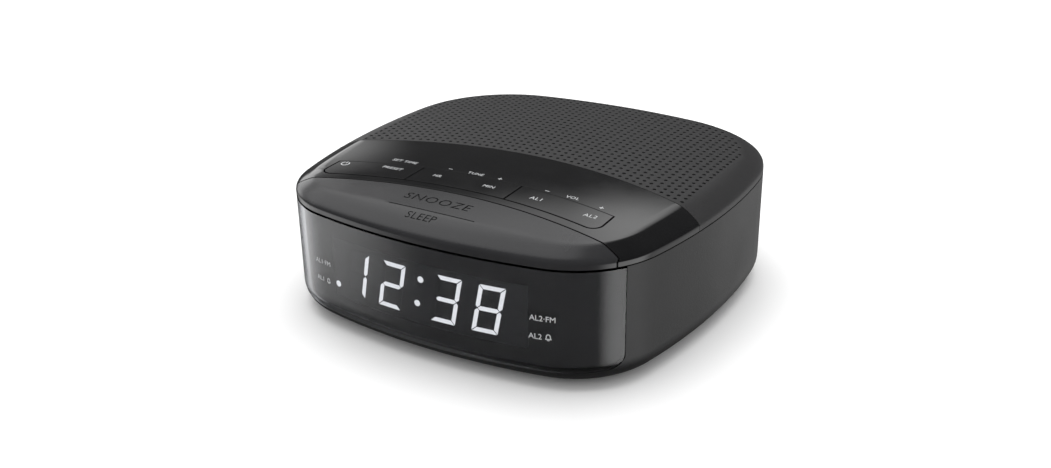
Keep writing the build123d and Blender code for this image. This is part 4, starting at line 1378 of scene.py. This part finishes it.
def make_lens():
    """Tinted lens with its print."""
    straight = np.linspace(0, LENS_HALF - LENS_CORNER, 60)
    curved = [LENS_HALF - LENS_CORNER + LENS_CORNER * math.sin(math.pi / 2 * i / 10)
              for i in range(1, 11)]
    right = [float(x) for x in straight] + curved
    columns = [-x for x in reversed(right[1:])] + right
    shares = [0.0, 0.012, 0.03, 0.06, 0.1, 0.15] + [0.15 + 0.85 * i / 14 for i in range(1, 15)]
    points = []
    for x in columns:
        low = lens_low_z(x)
        for share in shares:
            place, _ = lens_point(x, low + (LENS_TOP_Z - low) * share)
            points.append(place * MM)
    count = len(shares)
    faces = []
    for i in range(len(columns) - 1):
        for j in range(count - 1):
            a = i * count + j
            faces.append((a, a + count, a + count + 1, a + 1))
    mesh = bpy.data.meshes.new("front_lens_skin")
    mesh.from_pydata([tuple(p) for p in points], [], faces)
    mesh.polygons.foreach_set("use_smooth", [True] * len(faces))
    mesh.materials.append(LENS_FINISH)
    lens = linked("front_lens_skin", mesh)
    thick = lens.modifiers.new("thickness", "SOLIDIFY")
    thick.thickness = LENS_THICK * MM
    thick.offset = -1.0
    edge = lens.modifiers.new("edge", "BEVEL")
    edge.width = 0.14 * MM
    edge.segments = 2
    edge.limit_method = "ANGLE"
    edge.angle_limit = math.radians(50)
    edge.harden_normals = True
    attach(lens, "radio")
    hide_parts("front_lens")

    marks = [
        words("AL1·FM", 1.55, -37.6, 21.5), words("AL1", 1.55, -39.4, 15.7),
        *bell_icon(-35.6, 15.7, 1.0),
        words("AL2·FM", 1.7, 38.2, 22.2), words("AL2", 1.7, 36.2, 16.6),
        *bell_icon(39.9, 16.7, 1.1),
    ]
    skin = Skin()
    printed(skin, marks, lens_point, 0)
    skin.object("lens_print", "radio", [INK])


make_snooze()
make_bending_rings()
make_panel()
make_key("key_power", print_row([("PRESET", 1.6, -31.1, 190.7)]) + power_icon(-47.9, -36.3, 1.3))
make_key("key_time", print_row([("HR", 1.6, -14.6, 189.3), ("MIN", 1.6, 3.8, 188.7)]))
make_key("key_alarm", print_row([("AL1", 1.8, 20.4, 188.9), ("AL2", 1.8, 39.3, 189.6)]))
make_cover()
make_lens()


# ================= camera, floor and lights =================

CAMERA_EYE = (172.73, -292.18, 167.18)
CAMERA_BACK = (0.46855, -0.79556, 0.38413)
CAMERA_ROLL = math.radians(-0.5613)
CAMERA_LENS = 38.59
CAMERA_SHIFT = (-0.0111, -0.0307)


def make_camera():
    """Camera at the viewing angle of the product view."""
    back = Vector(CAMERA_BACK).normalized()
    right = Vector((-back.y, back.x, 0.0)).normalized()
    up = back.cross(right)
    turned_right = right * math.cos(CAMERA_ROLL) + up * math.sin(CAMERA_ROLL)
    turned_up = up * math.cos(CAMERA_ROLL) - right * math.sin(CAMERA_ROLL)
    data = bpy.data.cameras.new("camera")
    data.lens = CAMERA_LENS
    data.sensor_width = 36.0
    data.shift_x, data.shift_y = CAMERA_SHIFT
    data.clip_start = 0.01
    data.clip_end = 50.0
    camera = linked("camera", data)
    turn = Matrix((turned_right, turned_up, back)).transposed()
    camera.matrix_world = Matrix.Translation(Vector(CAMERA_EYE) * MM) @ turn.to_4x4()
    bpy.context.scene.camera = camera


# the lamp's place, aim and size in metres, and its power in watts
LAMP_PLACE = (-0.15, 0.25, 1.3)
LAMP_AIM = (0.0, 0.0, 0.02)
LAMP_SIZE = (1.6, 1.3)
LAMP_POWER = 16.0
FLOOR_REACH = 6.0


def make_floor():
    """Plain white floor."""
    mesh = bpy.data.meshes.new("floor")
    corners = [(a * FLOOR_REACH, b * FLOOR_REACH, 0) for a, b in ((-1, -1), (1, -1), (1, 1), (-1, 1))]
    mesh.from_pydata(corners, [], [(0, 1, 2, 3)])
    paint = Paint("floor_white")
    cloud = paint.noise(60.0, 2.0, 0.5)
    paint.set(Base_Color=paint.mixed(cloud, (0.9, 0.9, 0.9), (0.93, 0.93, 0.93)))
    paint.set(Roughness=0.9, Specular_IOR_Level=0.0)
    mesh.materials.append(paint.material)
    floor = linked("floor", mesh)
    floor.visible_glossy = False
    floor.location.z = -0.00005


def make_lamp():
    """Large soft lamp over the radio. The gloss doesn't show it."""
    data = bpy.data.lights.new("overhead", "AREA")
    data.shape = "RECTANGLE"
    data.size, data.size_y = LAMP_SIZE
    data.energy = LAMP_POWER
    lamp = linked("overhead", data)
    lamp.location = LAMP_PLACE
    aim = Vector(LAMP_AIM) - Vector(LAMP_PLACE)
    lamp.rotation_euler = aim.to_track_quat("-Z", "Y").to_euler()
    lamp.visible_glossy = False


# Bright panels round the set that the gloss catches. Azimuth is clockwise from straight
# behind the radio, in degrees. Each is fully bright up to its inner reach, gone at its outer.
# azimuth, inner and outer reach, elevation, inner and outer reach, brightness
GLOWS = [
    (-58.0, 30.0, 46.0, 56.0, 26.0, 31.0, 1.2),
    (-62.0, 14.0, 24.0, 12.5, 4.5, 9.5, 2.2),
    (-18.0, 3.0, 11.0, 32.0, 3.0, 8.0, 1.1),
    (-106.0, 10.0, 40.0, -14.0, 9.0, 17.0, 2.1),
    (95.0, 5.0, 33.0, -18.0, 12.0, 26.0, 3.2),
    (40.0, 20.0, 50.0, -10.0, 12.0, 34.0, 1.0),
]
WORLD_GREY = 0.12
DOME = 0.86
BACKDROP = 0.97


def make_world():
    """Soft even dome for the diffuse light, with dark surroundings and a few soft bright
    panels for the gloss to catch."""
    world = bpy.data.worlds.new("studio")
    bpy.context.scene.world = world
    world.use_nodes = True
    world.node_tree.nodes.clear()
    tree = Tree(world.node_tree)
    place = tree.add("SeparateXYZ", Vector=tree.add("TexCoord").outputs["Generated"]).outputs

    def worked(operation, *sources):
        node = tree.add("Math")
        node.operation = operation
        for socket, source in zip(node.inputs, sources):
            tree.feed(socket, source)
        return node.outputs[0]

    def smooth(source, start, end, low, high):
        node = tree.add("MapRange", From_Min=start, From_Max=end, To_Min=low, To_Max=high,
                        Value=source)
        node.interpolation_type = "SMOOTHSTEP"
        return node.outputs["Result"]

    elevation = worked("ARCSINE", place["Z"])
    squared = worked("MULTIPLY", place["Z"], place["Z"])
    level = worked("SQRT", worked("SUBTRACT", 1.0001, squared))
    total = WORLD_GREY
    for azimuth, az_in, az_out, height, el_in, el_out, brightness in GLOWS:
        turn = math.radians(azimuth)
        east = worked("MULTIPLY", place["X"], math.sin(turn))
        north = worked("MULTIPLY", place["Y"], math.cos(turn))
        towards = worked("DIVIDE", worked("ADD", east, north), level)
        edges = math.cos(math.radians(az_out)), math.cos(math.radians(az_in))
        across = smooth(towards, *edges, 0.0, 1.0)
        off = worked("ABSOLUTE", worked("SUBTRACT", elevation, math.radians(height)))
        up = smooth(off, math.radians(el_in), math.radians(el_out), 1.0, 0.0)
        glow = worked("MULTIPLY", worked("MULTIPLY", across, up), brightness)
        total = worked("ADD", total, glow)
    path = tree.add("LightPath").outputs
    shown = tree.add("Background", Strength=total).outputs[0]
    for ray, brightness in (("Is Diffuse Ray", DOME), ("Is Camera Ray", BACKDROP)):
        plain = tree.add("Background", Strength=brightness, Color=(1.0, 1.0, 1.0, 1.0))
        mix = tree.add("MixShader")
        for socket, source in zip(mix.inputs, (path[ray], shown, plain.outputs[0])):
            tree.feed(socket, source)
        shown = mix.outputs[0]
    tree.add("OutputWorld", Surface=shown)


make_camera()
make_floor()
make_world()
make_lamp()
bpy.context.scene.view_settings.view_transform = "Standard"
